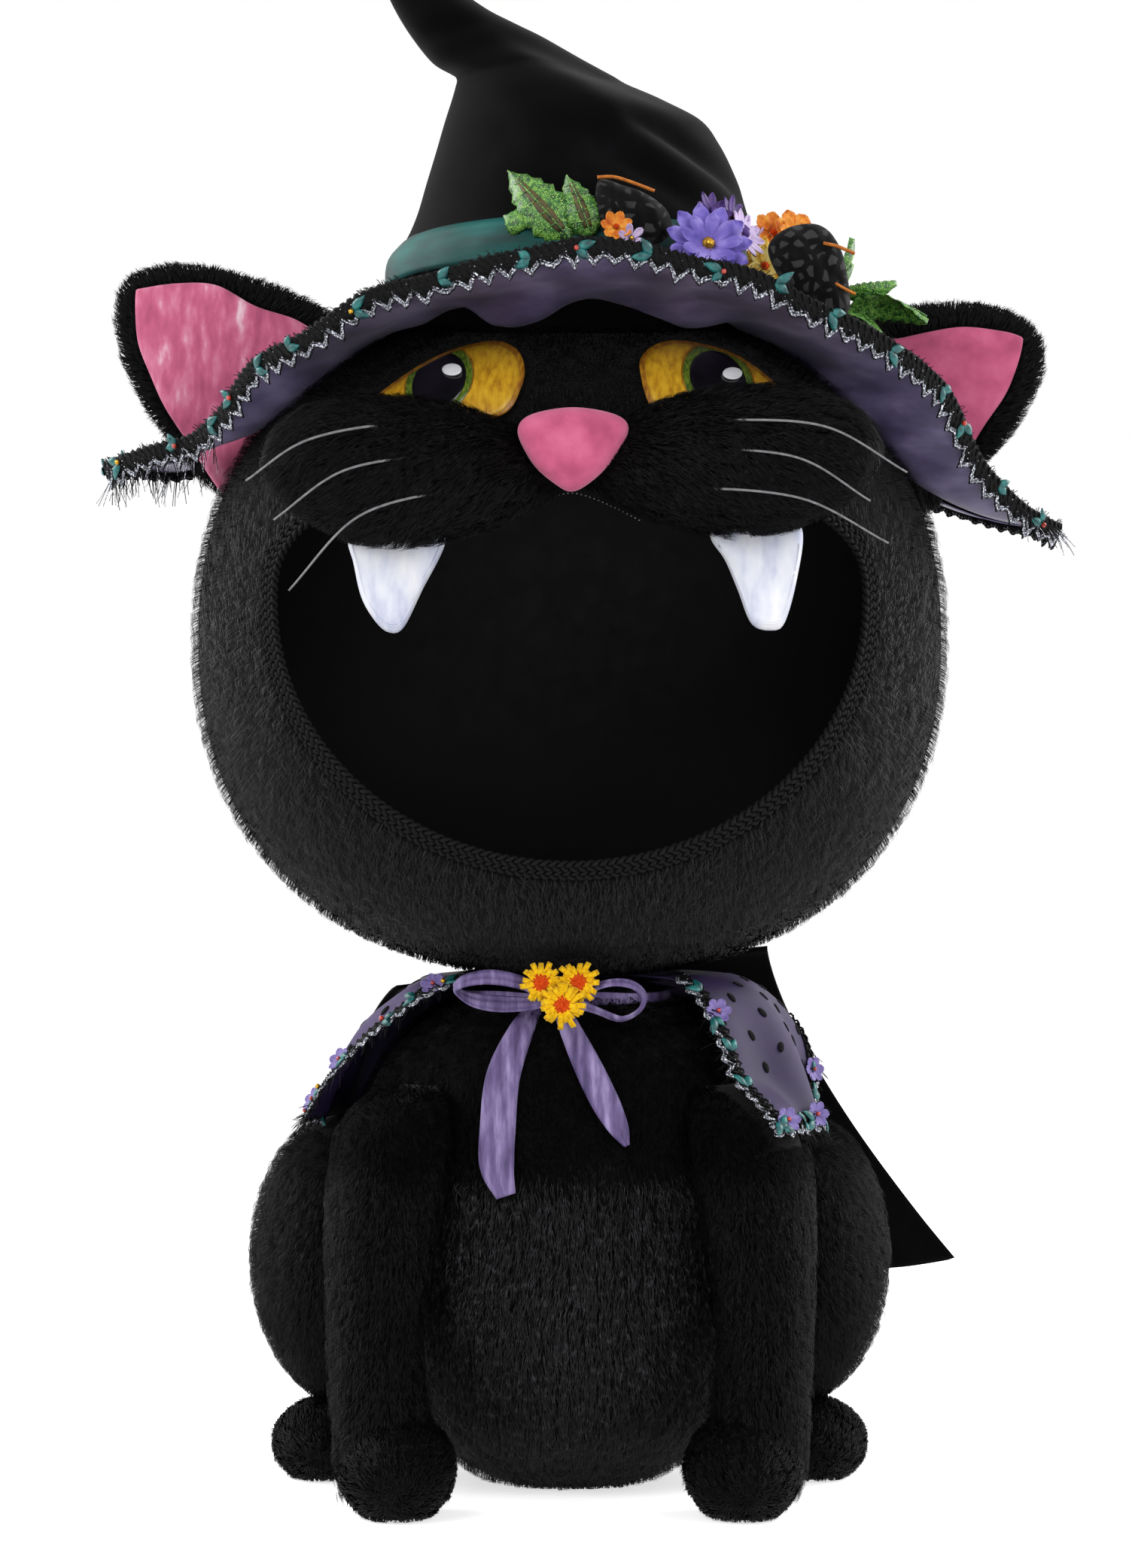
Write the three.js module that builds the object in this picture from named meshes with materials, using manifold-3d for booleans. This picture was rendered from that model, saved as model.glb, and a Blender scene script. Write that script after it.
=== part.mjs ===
// A large stuffed black cat that sits up and wears a witch's hat, a capelet, a long cape and a ribbon bow.
// Its head is a rigid round bowl with a wide open mouth, covered in padded fur, that turns on a neck post.
// Millimetres, +Z up. The cat faces -Y, and the origin lies on the floor, on the weighted base disc.
import * as THREE from 'three';
import { mergeVertices } from 'three/addons/utils/BufferGeometryUtils.js';
import Module from 'manifold-3d';

const wasm = await Module();
wasm.setup();

// Gaps that the pieces share
const clearance = 0.3;
const overrun = 20;
const beyond = 1000;
const trimGap = 0.8;

// How finely the round forms are cut
const headSteps = [22, 13];
const torsoSteps = 20;
const limbSteps = 12;
const haunchSteps = [16, 10];
const smallSteps = [14, 8];
const turnedSteps = 24;
const screwSteps = 8;
const crownSteps = 16;
const brimSteps = [40, 3];
const capeSteps = [20, 5];
const capeletSteps = [15, 3];
const mouthSteps = 40;
const trimSteps = [36, 4];
const tailSteps = [12, 9];
const whiskerSteps = [8, 5];
const bowTailSteps = [3, 6];
const eyeSteps = 5;
const earSteps = 2;
const stepsPerPetal = 2;
const weldDistance = 1e-4;

// Stuffed body
const torsoHeight = 297.5;
const torsoHalfWidth = 132;
const torsoFront = 112;
const torsoBack = 130;
const torsoLift = 0.4;
// height, half width, front and back, each a share of the four sizes above
const torsoShares = [
  [0, 0.34, 0.2, 0.5],
  [0.012, 0.4, 0.27, 0.58],
  [0.04, 0.52, 0.43, 0.74],
  [0.13, 0.76, 0.77, 0.92],
  [0.27, 0.94, 0.95, 1],
  [0.42, 1, 1, 0.985],
  [0.57, 0.99, 0.95, 0.91],
  [0.7, 0.97, 0.89, 0.81],
  [0.8, 0.9, 0.82, 0.71],
  [0.88, 0.78, 0.74, 0.62],
  [0.94, 0.62, 0.62, 0.5],
  [0.98, 0.43, 0.48, 0.37],
  [1, 0.25, 0.28, 0.22],
];

// Weighted base and neck post
const discRadius = 42;
const discThickness = 12;
const discSetBack = 20;
const discChamfer = 1.5;
const postY = 5;
const postRadius = 16;
const postReach = 44;
const flangeRadius = 24;
const flangeThickness = 4;
const screwCount = 3;
const screwCircle = 20;
const screwRadius = 2;
const screwHeadRadius = 3.2;
const screwHeadHeight = 2.4;
const screwDepth = 8;
const turningGap = 0.4;

// Legs, paws and tail
const forelegSpread = 111;
const forelegHalfWidth = 36;
const forelegHalfDepth = 42;
const forelegTop = 240;
const forelegReach = 125;
// height, spread, reach forward, half width and half depth, each a share of the five sizes above
const forelegShares = [
  [0.075, 0.92, 1.02, 0.72, 0.66],
  [0.17, 0.95, 1, 0.74, 0.74],
  [0.42, 1, 0.9, 0.74, 0.8],
  [0.7, 0.97, 0.74, 0.9, 0.95],
  [0.88, 0.9, 0.57, 0.97, 1],
  [0.96, 0.84, 0.5, 0.76, 0.8],
  [1, 0.78, 0.46, 0.4, 0.45],
];
const forepawCentre = [98, -132, 28];
const forepawHalf = [33, 42, 32];
const haunchCentre = [134, 50, 130];
const haunchHalf = [58, 88, 88];
const hindPawCentre = [146, 30, 21];
const hindPawHalf = [32, 44, 26];
const flatDepth = 0.5;
const tailRootRadius = 17;
const tailTipRadius = 9;
const tailDrop = 9;
const tailBehind = 150;
const tailSweep = 140;
// sideways and back, as shares of the two sizes above
const tailShares = [
  [0, 0.76],
  [-0.04, 1.02],
  [-0.3, 1.16],
  [-0.68, 1.17],
  [-1, 1.02],
];

// Head: a rigid bowl under a padded cover. Its upright section is a little squarer than an ellipse.
const headHalfWidth = 221;
const headHalfDepth = 188;
const headHalfHeight = 200;
const neckGap = 3.5;
const headBottom = torsoHeight + neckGap;
const headCentreZ = headBottom + headHalfHeight;
const headTop = headCentreZ + headHalfHeight;
const postTop = headBottom + postReach;
const headPower = 2.25;
const headPoleDegrees = 5;
const plushThickness = 12;
const bowlWall = 5;
const socketWall = 3.6;
const socketFlangeRadius = 38;
const socketFlangeThickness = 4;
const socketCap = 4.7;
const socketFoot = 3.4;

// Mouth, its braid, cheeks, nose, fangs, eyes and whiskers
const cheekDrop = 111;
const cheekZ = headTop - cheekDrop;
const mouthOverCheeks = 7;
const mouthSideRim = 46;
const mouthChinRim = 61;
const mouthRise = 18;
const mouthHalfWidth = headHalfWidth - mouthSideRim;
const mouthBelow = headHalfHeight + mouthRise - mouthChinRim;
const mouthCentreZ = headCentreZ + mouthRise;
const mouthAbove = cheekZ + mouthOverCheeks - mouthCentreZ;
const mouthTopPower = 2.7;
const trimRadius = 4.5;
const trimDepth = 8;
const cheekSpread = 87;
const cheekForward = headHalfDepth - 12;
const cheekHalf = [84, 46, 42];
const cheekDroopDegrees = 8.5;
const cheekLift = 3;
const noseHalfWidth = 31;
const noseHeight = 46;
const noseZ = cheekZ + 9;
const noseForward = cheekForward + 24;
const noseDepth = 18;
const noseBevel = 6;
// across and up from the nose's middle, as shares of its half width and height
const noseShares = [
  [0, -0.58],
  [1.05, 0.12],
  [0.92, 0.5],
  [0, 0.56],
  [-0.92, 0.5],
  [-1.05, 0.12],
];
const fangSpread = 100;
const fangTopZ = cheekZ - 28;
const fangHeight = 62;
const fangHalfWidth = 30;
const fangHalfDepth = 11;
const fangForward = cheekForward - 13;
// height down, width and depth, as shares of the fang's own sizes
const fangShares = [
  [0, 1, 1],
  [0.3, 0.86, 1],
  [0.6, 0.6, 0.85],
  [0.85, 0.36, 0.6],
  [1, 0.2, 0.34],
];
const eyeSpread = 79;
const eyeShift = 5;
const eyeZ = cheekZ + 57;
const eyeHalfWidth = 46;
const eyeHalfHeight = 26;
const eyeThickness = 5;
const eyeSlantDegrees = 14;
const whiskerRadius = 1;
// root and tip of each whisker, across and up from the middle of its cheek
const whiskerRuns = [
  { side: 'left', root: [28, 23], tip: [97, -5] },
  { side: 'left', root: [4, 6], tip: [81, -27] },
  { side: 'left', root: [-6, -14], tip: [73, -66] },
  { side: 'right', root: [10, 22], tip: [103, -6] },
  { side: 'right', root: [0, 5], tip: [82, -22] },
  { side: 'right', root: [-6, -16], tip: [92, -45] },
];
const whiskerForward = 6;
const whiskerArch = 9;

// Ears
const earWidth = 130;
const earHeight = 133;
const earThickness = 24;
const earBevel = 5;
const earFeet = {
  left: [headHalfWidth - 17, headCentreZ + 88],
  right: [headHalfWidth - 25, headCentreZ + 71],
};
const earFront = -2;
const earLiningThickness = 3;
const earLiningShare = 0.84;
const earTurnDegrees = { left: 0, right: 11 };
// out from the head and up, as shares of the ear's width and height, round the edge from its foot
const earShares = [
  [0.28, 0.29],
  [0.39, 0.45],
  [0.47, 0.62],
  [0.5, 0.8],
  [0.45, 0.93],
  [0.34, 0.985],
  [0.16, 1],
  [-0.15, 0.925],
  [-0.48, 0.775],
  [-0.62, 0.55],
  [-0.4, 0.1],
];

// Hat
const crownRadius = 107.5;
const crownHeight = 240;
const crownFoot = headTop - 29;
const crownWall = 4;
// sideways, up and radius as shares of the radius, height and radius, and the lean in degrees
const crownRings = [
  { shares: [0, 0, 1], lean: 0 },
  { shares: [0, 0.117, 0.986], lean: 0 },
  { shares: [0.037, 0.262, 0.94], lean: 0 },
  { shares: [0.062, 0.387, 0.88], lean: 2.6 },
  { shares: [0.03, 0.537, 0.754], lean: 3.5 },
  { shares: [-0.028, 0.579, 0.665], lean: 3 },
  { shares: [-0.164, 0.628, 0.515], lean: 8 },
  { shares: [-0.298, 0.675, 0.379], lean: 17.5 },
  { shares: [-0.437, 0.737, 0.24], lean: 36 },
  { shares: [-0.619, 0.779, 0.207], lean: 49 },
  { shares: [-0.72, 0.815, 0.18], lean: 49 },
  { shares: [-0.902, 0.896, 0.112], lean: 49 },
  { shares: [-1.135, 1, 0.037], lean: 48 },
];
const hollowRings = 7;
const bandHeight = 27;
const bandFoot = crownFoot + 35;
const bandThickness = 2;
const brimRootZ = crownFoot + 25;
const brimReach = 200;
const brimDroop = 100;
const brimThickness = 3;
const liningThickness = 1.6;
// round from +X in degrees, then reach and drop below the root as shares of the two sizes above
const brimEdgeShares = [
  [-180, 1.38, 0.94],
  [-174, 1.26, 0.85],
  [-167, 1.12, 0.82],
  [-159, 1.07, 0.68],
  [-150, 1.05, 0.45],
  [-135, 1.02, 0.25],
  [-120, 1, 0.06],
  [-105, 1, -0.06],
  [-90, 1, -0.16],
  [-75, 1.01, -0.14],
  [-60, 1.03, 0.01],
  [-45, 1.07, 0.19],
  [-30, 1.12, 0.39],
  [-20, 1.16, 0.6],
  [-13, 1.21, 0.93],
  [-6, 1.34, 1.2],
  [0, 1.46, 1.33],
  [20, 1.3, 1.1],
  [45, 1.18, 0.82],
  [70, 1.13, 0.56],
  [90, 1.12, 0.46],
  [110, 1.13, 0.52],
  [135, 1.2, 0.68],
  [160, 1.3, 0.85],
  [180, 1.38, 0.94],
];
const brimFrontPower = 1.2;
const brimSidePower = 1.8;
const notchStart = 125;
const notchFront = 19;
const notchBack = 30;

// Trimmings on the hat: sideways, out from the front of the crown, and up from its foot
const hatLoops = [
  { name: 'hat_bow_loop_left', centre: [38, -0.5, 67], half: [22, 13, 18] },
  { name: 'hat_bow_loop_right', centre: [133, -3.5, 37], half: [24, 14, 27] },
];
const hatLeaves = [
  { name: 'hat_leaf_left', foot: [2, 1.7, 50], length: 56, leanDegrees: -42 },
  { name: 'hat_leaf_middle', foot: [13, 4.5, 52], length: 40, leanDegrees: -16 },
  { name: 'hat_leaf_right', foot: [150, -2.5, 26], length: 52, leanDegrees: 98 },
];
const leafWidthShare = 0.5;
const leafThickness = 2.4;
// across and up, as shares of half the leaf's width and of its length
const leafShares = [
  [0, -0.05],
  [1, 0.25],
  [1, 0.55],
  [0, 1.1],
  [-1, 0.55],
  [-1, 0.25],
];
const hatFlowers = [
  { name: 'hat_daisy_purple', centre: [77, 47.5, 46], radius: 22, petals: 12, look: 'petalPurple' },
  { name: 'hat_flower_orange', centre: [124, 16.5, 50], radius: 17, petals: 8, look: 'petalOrange' },
  { name: 'hat_flower_yellow', centre: [106, 54.5, 31], radius: 12, petals: 6, look: 'petalYellow' },
];
const flowerThickness = 6;
const petalDepthShare = 0.16;

// Capelet, cape and ribbon
const capeletNeck = [66, 62];
const capeletHem = [150, 118];
const capeletNeckZ = torsoHeight + 4.5;
const capeletDrop = 86;
const capeletThickness = 2.6;
const capeletFold = 5;
const capeletFolds = 5;
const capeletFlarePowers = { left: 0.75, right: 0.35 };
const capeletDepthPower = 0.75;
const capeletFallPower = 1.4;
const capeletEdges = {
  left: { neckDegrees: -132, hemDegrees: -178 },
  right: { neckDegrees: -52, hemDegrees: -49 },
};
const seamDegrees = 90;
const seamGapDegrees = 0.4;
const capeTopDrop = 5.5;
const capeTopRise = 18.5;
const capeLength = 178;
const capeTopLeft = [-104, 44, torsoHeight - capeTopDrop];
const capeTopRight = [119, 40, torsoHeight + capeTopRise];
const capeHemLeft = [-184, 140, torsoHeight - capeLength];
const capeHemRight = [240, 134, torsoHeight - capeLength];
const capeNeckBack = 28;
const capeHemBack = 24;
const capeThickness = 3;
const capeFold = 7;
const capeFolds = 5;
const capeFlarePower = 0.7;
const capeFallPower = 1.1;
const ribbonHeight = 8;
const ribbonZ = torsoHeight - 8.5;
const ribbonHalfLength = 58;
const ribbonThickness = 1.4;
const bowX = -3;
const bowZ = torsoHeight - 5.5;
const bowStand = 16;
const bowLoopHalf = [30, 13, 11];
const daisyStand = 8;
const bowLoopRise = 3.3;
const bowTails = {
  left: { root: -7, across: -46, length: 96, width: 17 },
  right: { root: 6, across: 34, length: 74, width: 13 },
};
const bowTailThickness = 2;
const bowTailStand = 1;
const bowTailRootShare = 0.6;
const daisyRadius = 13;
const daisyThickness = 5;
const daisyPetals = 9;
const daisyPlaces = [
  [-14, 7],
  [12.6, 9],
  [0, -11],
];

const looks = {
  fur: { color: 0x121214, roughness: 0.9 },
  velvet: { color: 0x0d0d10, roughness: 0.9 },
  bowl: { color: 0x060607, roughness: 0.6 },
  steel: { color: 0x8c9094, roughness: 0.35, metalness: 1 },
  board: { color: 0x6d5233, roughness: 0.7 },
  socket: { color: 0x2a2a2c, roughness: 0.6 },
  braid: { color: 0x0a0a0b, roughness: 0.9 },
  pink: { color: 0xd86a93, roughness: 0.8 },
  white: { color: 0xe9e9f0, roughness: 0.4 },
  gold: { color: 0xb98a14, roughness: 0.5 },
  whisker: { color: 0x8f9094, roughness: 0.5 },
  teal: { color: 0x0f5b57, roughness: 0.5 },
  lavender: { color: 0x7c6a9c, roughness: 0.5 },
  purple: { color: 0x4b3a66, roughness: 0.5 },
  leaf: { color: 0x2d6a34, roughness: 0.6 },
  daisy: { color: 0xeab21b, roughness: 0.9 },
  loop: { color: 0x26242a, roughness: 0.9 },
  petalPurple: { color: 0x8f7fd6, roughness: 0.6 },
  petalOrange: { color: 0xe68a1e, roughness: 0.6 },
  petalYellow: { color: 0xf2c64a, roughness: 0.6 },
};

const headY = postY;
const headMiddle = new THREE.Vector3(0, headY, headCentreZ);
const radians = THREE.MathUtils.degToRad;
const upright = new THREE.Vector3(0, 0, 1);

const part = new THREE.Group();

// Solids for cutting and joining

function toSolid(geometry) {
  const bare = geometry.clone();
  const extra = Object.keys(bare.attributes).filter((name) => name !== 'position');
  extra.forEach((name) => bare.deleteAttribute(name));
  const merged = mergeVertices(bare, weldDistance);
  const mesh = new wasm.Mesh({
    numProp: 3,
    vertProperties: new Float32Array(merged.attributes.position.array),
    triVerts: new Uint32Array(merged.index.array),
  });
  return new wasm.Manifold(mesh);
}

function toGeometry(solid) {
  const mesh = solid.getMesh();
  const geometry = new THREE.BufferGeometry();
  geometry.setAttribute('position', new THREE.BufferAttribute(new Float32Array(mesh.vertProperties), 3));
  geometry.setIndex(new THREE.BufferAttribute(new Uint32Array(mesh.triVerts), 1));
  geometry.computeVertexNormals();
  return geometry;
}

// The largest of the bodies that a cut leaves: the offcuts are waste.
function mainBody(solid) {
  const bodies = solid.decompose();
  return bodies.reduce((best, body) => (body.volume() > best.volume() ? body : best));
}

function cut(solid, ...tools) {
  return mainBody(tools.reduce((left, tool) => left.subtract(tool), solid));
}

function addMesh(name, geometry, look) {
  const mesh = new THREE.Mesh(geometry, new THREE.MeshStandardMaterial(look));
  mesh.name = name;
  part.add(mesh);
}

function addSolid(name, solid, look) {
  addMesh(name, toGeometry(solid), look);
}

// Forms

// Closed skin over rings of the same count. Each ring runs counter-clockwise seen from the last one.
function skin(rings) {
  const count = rings[0].length;
  const places = rings.flat();
  const faces = [];
  for (let ring = 0; ring + 1 < rings.length; ring += 1) {
    for (let step = 0; step < count; step += 1) {
      const here = ring * count + step;
      const next = ring * count + ((step + 1) % count);
      faces.push(here, next, here + count, next, next + count, here + count);
    }
  }
  const last = (rings.length - 1) * count;
  const start = places.push(middleOf(rings[0])) - 1;
  const end = places.push(middleOf(rings[rings.length - 1])) - 1;
  for (let step = 0; step < count; step += 1) {
    const next = (step + 1) % count;
    faces.push(start, next, step, end, last + step, last + next);
  }
  return meshOf(places, faces);
}

function middleOf(ring) {
  const sum = ring.reduce((total, place) => total.add(place), new THREE.Vector3());
  return sum.divideScalar(ring.length);
}

function meshOf(places, faces) {
  const geometry = new THREE.BufferGeometry();
  const numbers = places.flatMap((place) => [place.x, place.y, place.z]);
  geometry.setAttribute('position', new THREE.Float32BufferAttribute(numbers, 3));
  geometry.setIndex(faces);
  return geometry;
}

// A level oval ring
function ovalRing(x, y, z, halfWidth, halfDepth, steps) {
  return Array.from({ length: steps }, (_, step) => {
    const turn = (step / steps) * Math.PI * 2;
    return new THREE.Vector3(x + halfWidth * Math.cos(turn), y + halfDepth * Math.sin(turn), z);
  });
}

function oval(centre, half, grow = 0, [across, down] = smallSteps) {
  const geometry = new THREE.SphereGeometry(1, across, down);
  geometry.rotateX(Math.PI / 2);
  geometry.scale(half[0] + grow, half[1] + grow, half[2] + grow);
  geometry.translate(...centre);
  return geometry;
}

function cylinder(radius, low, high, x = 0, y = 0, steps = turnedSteps) {
  const geometry = new THREE.CylinderGeometry(radius, radius, high - low, steps);
  geometry.rotateX(Math.PI / 2);
  geometry.translate(x, y, (low + high) / 2);
  return geometry;
}

function block(low, high) {
  const size = high.map((value, axis) => value - low[axis]);
  const geometry = new THREE.BoxGeometry(...size);
  geometry.translate(...high.map((value, axis) => (value + low[axis]) / 2));
  return geometry;
}

// A lathe profile of [radius, height] turned round the upright axis at x, y
function turned(profile, x, y, steps = turnedSteps) {
  const outline = profile.map(([radius, height]) => new THREE.Vector2(radius, height));
  const geometry = new THREE.LatheGeometry(outline, steps);
  geometry.rotateX(Math.PI / 2);
  geometry.translate(x, y, 0);
  return geometry;
}

// A tapering tube through the places, with its radius given along it from 0 to 1
function taperedTube(places, radiusAt, steps, sides) {
  const curve = new THREE.CatmullRomCurve3(places);
  const rings = Array.from({ length: steps + 1 }, (_, index) => {
    const share = index / steps;
    const centre = curve.getPointAt(share);
    const ahead = curve.getTangentAt(share);
    const side = new THREE.Vector3().crossVectors(upright, ahead).normalize();
    const over = new THREE.Vector3().crossVectors(ahead, side);
    return Array.from({ length: sides }, (__, corner) => {
      const turn = (corner / sides) * Math.PI * 2;
      const radius = radiusAt(share);
      return centre.clone().addScaledVector(side, radius * Math.cos(turn))
        .addScaledVector(over, radius * Math.sin(turn));
    });
  });
  return skin(rings);
}

// A sheet of cloth with its outer face at place(u, v) and its thickness below that face
function cloth(place, columns, rows, top, bottom, closed = false) {
  const nudge = 1e-3;
  const outer = [];
  const inner = [];
  const across = closed ? columns : columns + 1;
  for (let row = 0; row <= rows; row += 1) {
    for (let column = 0; column < across; column += 1) {
      const u = column / columns;
      const v = row / rows;
      const here = place(u, v);
      const alongU = place(closed ? u + nudge : Math.min(u + nudge, 1), v)
        .sub(place(closed ? u - nudge : Math.max(u - nudge, 0), v));
      const alongV = place(u, Math.min(v + nudge, 1)).sub(place(u, Math.max(v - nudge, 0)));
      const out = new THREE.Vector3().crossVectors(alongU, alongV).normalize();
      outer.push(here.clone().addScaledVector(out, top));
      inner.push(here.clone().addScaledVector(out, -bottom));
    }
  }
  return meshOf([...outer, ...inner], clothFaces(across, columns, rows, closed));
}

function clothFaces(across, columns, rows, closed) {
  const faces = [];
  const under = across * (rows + 1);
  const at = (column, row) => row * across + (column % across);
  for (let row = 0; row < rows; row += 1) {
    for (let column = 0; column < columns; column += 1) {
      const corners = [at(column, row), at(column + 1, row), at(column + 1, row + 1), at(column, row + 1)];
      const [a, b, c, d] = corners;
      faces.push(a, b, c, a, c, d, under + a, under + c, under + b, under + a, under + d, under + c);
    }
  }
  const wall = (from, to) => faces.push(from, under + from, under + to, from, under + to, to);
  for (let column = 0; column < columns; column += 1) {
    wall(at(column, 0), at(column + 1, 0));
    wall(at(column + 1, rows), at(column, rows));
  }
  for (let row = 0; row < rows && !closed; row += 1) {
    wall(at(0, row + 1), at(0, row));
    wall(at(columns, row), at(columns, row + 1));
  }
  return faces;
}

// An outline in X and Z with depth along Y, its front face at the given y
function plate(outline, depth, frontY, bevel = 0, curveSteps = 3) {
  const geometry = new THREE.ExtrudeGeometry(outline, {
    depth: depth - 2 * bevel,
    steps: 1,
    curveSegments: curveSteps,
    bevelEnabled: bevel > 0,
    bevelThickness: bevel,
    bevelSize: bevel,
    bevelOffset: -bevel,
    bevelSegments: 1,
  });
  geometry.rotateX(Math.PI / 2);
  geometry.translate(0, frontY + depth - bevel, 0);
  return geometry;
}

function smoothOutline(points) {
  const outline = new THREE.Shape();
  const last = points[points.length - 1];
  outline.moveTo((last.x + points[0].x) / 2, (last.y + points[0].y) / 2);
  points.forEach((point, index) => {
    const next = points[(index + 1) % points.length];
    outline.quadraticCurveTo(point.x, point.y, (point.x + next.x) / 2, (point.y + next.y) / 2);
  });
  return outline;
}

// Turns the inside of a mirrored geometry out again
function mirrored(geometry) {
  const copy = geometry.index ? geometry.clone() : mergeVertices(geometry);
  copy.scale(-1, 1, 1);
  const index = copy.index.array;
  for (let face = 0; face < index.length; face += 3) {
    [index[face], index[face + 1]] = [index[face + 1], index[face]];
  }
  return copy;
}

function sides(make) {
  ['left', 'right'].forEach((side) => make(side, side === 'left' ? -1 : 1));
}

// Body

function torsoForm(grow = 0) {
  const rings = torsoShares.map(([up, wide, ahead, behind]) => {
    const front = -(torsoFront * ahead + grow);
    const back = torsoBack * behind + grow;
    const edge = up === 0 ? -grow : grow * up;
    return ovalRing(0, (front + back) / 2, torsoLift + torsoHeight * up + edge,
      torsoHalfWidth * wide + grow, (back - front) / 2, torsoSteps);
  });
  return toSolid(skin(rings));
}

function forelegForm(hand, grow = 0) {
  const rings = forelegShares.map(([up, out, ahead, wide, deep]) => ovalRing(
    hand * forelegSpread * out, -forelegReach * ahead, forelegTop * up,
    forelegHalfWidth * wide + grow, forelegHalfDepth * deep + grow, limbSteps,
  ));
  return toSolid(skin(rings));
}

const floorCut = toSolid(block([-beyond, -beyond, -beyond], [beyond, beyond, 0]));
const torso = torsoForm();
const torsoSpace = torsoForm(clearance);
const discTop = discThickness;
const flangeFoot = discTop + clearance;
const flangeTop = flangeFoot + flangeThickness;
const screwFoot = flangeTop + clearance;
const withinDisc = discTop / 2;

function screwPlaces() {
  return Array.from({ length: screwCount }, (_, index) => {
    const turn = (index / screwCount) * Math.PI * 2 + Math.PI / 2;
    return [screwCircle * Math.cos(turn), postY + screwCircle * Math.sin(turn)];
  });
}

function addBase() {
  const holes = screwPlaces().map(([x, y]) => toSolid(
    cylinder(screwRadius + clearance, discTop - screwDepth, flangeTop + overrun, x, y, screwSteps),
  ));
  const disc = turned([
    [0, 0],
    [discRadius - discChamfer, 0],
    [discRadius, discChamfer],
    [discRadius, discTop],
    [0, discTop],
  ], 0, discSetBack);
  addSolid('base_disc', cut(toSolid(disc), ...holes), looks.board);
  const post = turned([
    [0, flangeFoot],
    [flangeRadius, flangeFoot],
    [flangeRadius, flangeTop],
    [postRadius, flangeTop],
    [postRadius, postTop],
    [0, postTop],
  ], 0, postY);
  addSolid('neck_post', cut(toSolid(post), ...holes), looks.steel);
  screwPlaces().forEach(([x, y], index) => {
    const screw = turned([
      [0, discTop - screwDepth + clearance],
      [screwRadius, discTop - screwDepth + clearance],
      [screwRadius, screwFoot],
      [screwHeadRadius, screwFoot],
      [screwHeadRadius, screwFoot + screwHeadHeight],
      [0, screwFoot + screwHeadHeight],
    ], x, y, screwSteps);
    addMesh(`flange_screw_${index + 1}`, screw, looks.steel);
  });
}

function addTorso() {
  const discSpace = toSolid(cylinder(discRadius + clearance, -overrun, discTop + clearance, 0, discSetBack));
  const flangeSpace = toSolid(cylinder(
    flangeRadius + clearance, withinDisc, screwFoot + screwHeadHeight + clearance, 0, postY,
  ));
  const postSpace = toSolid(cylinder(postRadius + clearance, withinDisc, postTop + overrun, 0, postY));
  addSolid('torso', cut(torso, discSpace, flangeSpace, postSpace), looks.fur);
}

function addLegs() {
  sides((side, hand) => {
    const place = (centre) => [hand * centre[0], centre[1], centre[2]];
    const foreleg = forelegForm(hand);
    const pawSpace = toSolid(oval(place(forepawCentre), forepawHalf, clearance));
    const haunchSpace = toSolid(oval(place(haunchCentre), haunchHalf, clearance, haunchSteps));
    const paw = toSolid(oval(place(forepawCentre), forepawHalf)).translate(0, 0, -flatDepth);
    addSolid(`forepaw_${side}`, cut(paw, floorCut, torsoSpace), looks.fur);
    addSolid(`foreleg_${side}`, cut(foreleg, torsoSpace, pawSpace.translate(0, 0, -flatDepth)), looks.fur);
    const legSpace = forelegForm(hand, clearance);
    const haunch = toSolid(oval(place(haunchCentre), haunchHalf, 0, haunchSteps));
    addSolid(`haunch_${side}`, cut(haunch, torsoSpace, legSpace, floorCut), looks.fur);
    const hindPaw = toSolid(oval(place(hindPawCentre), hindPawHalf));
    addSolid(`hind_paw_${side}`, cut(hindPaw, torsoSpace, haunchSpace, legSpace, floorCut), looks.fur);
  });
}

function addTail() {
  const places = tailShares.map(([across, behind], index) => {
    const radius = tailRootRadius + ((tailTipRadius - tailRootRadius) * index) / (tailShares.length - 1);
    const rise = index === 0 ? tailDrop : 0;
    return new THREE.Vector3(tailSweep * across, tailBehind * behind, radius - flatDepth + rise);
  });
  const radiusAt = (share) => tailRootRadius + (tailTipRadius - tailRootRadius) * share;
  const tail = toSolid(taperedTube(places, radiusAt, ...tailSteps));
  addSolid('tail', cut(tail, torsoSpace, floorCut), looks.fur);
}

// Capelet, cape and ribbon

function capeletPlace(side) {
  const edge = capeletEdges[side];
  const seam = side === 'left' ? seamDegrees - 360 + seamGapDegrees : seamDegrees - seamGapDegrees;
  return (u, v) => {
    const front = edge.neckDegrees + (edge.hemDegrees - edge.neckDegrees) * v;
    const [start, end] = side === 'left' ? [front, seam] : [seam, front];
    const turn = radians(start + (end - start) * u);
    const reachX = capeletNeck[0] + (capeletHem[0] - capeletNeck[0]) * v ** capeletFlarePowers[side];
    const reachY = capeletNeck[1] + (capeletHem[1] - capeletNeck[1]) * v ** capeletDepthPower;
    const ripple = capeletFold * v * Math.cos(u * Math.PI * 2 * capeletFolds);
    const z = capeletNeckZ - capeletDrop * v ** capeletFallPower;
    return new THREE.Vector3(
      (reachX + ripple) * Math.cos(turn), headY + (reachY + ripple) * Math.sin(turn), z,
    );
  };
}

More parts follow.
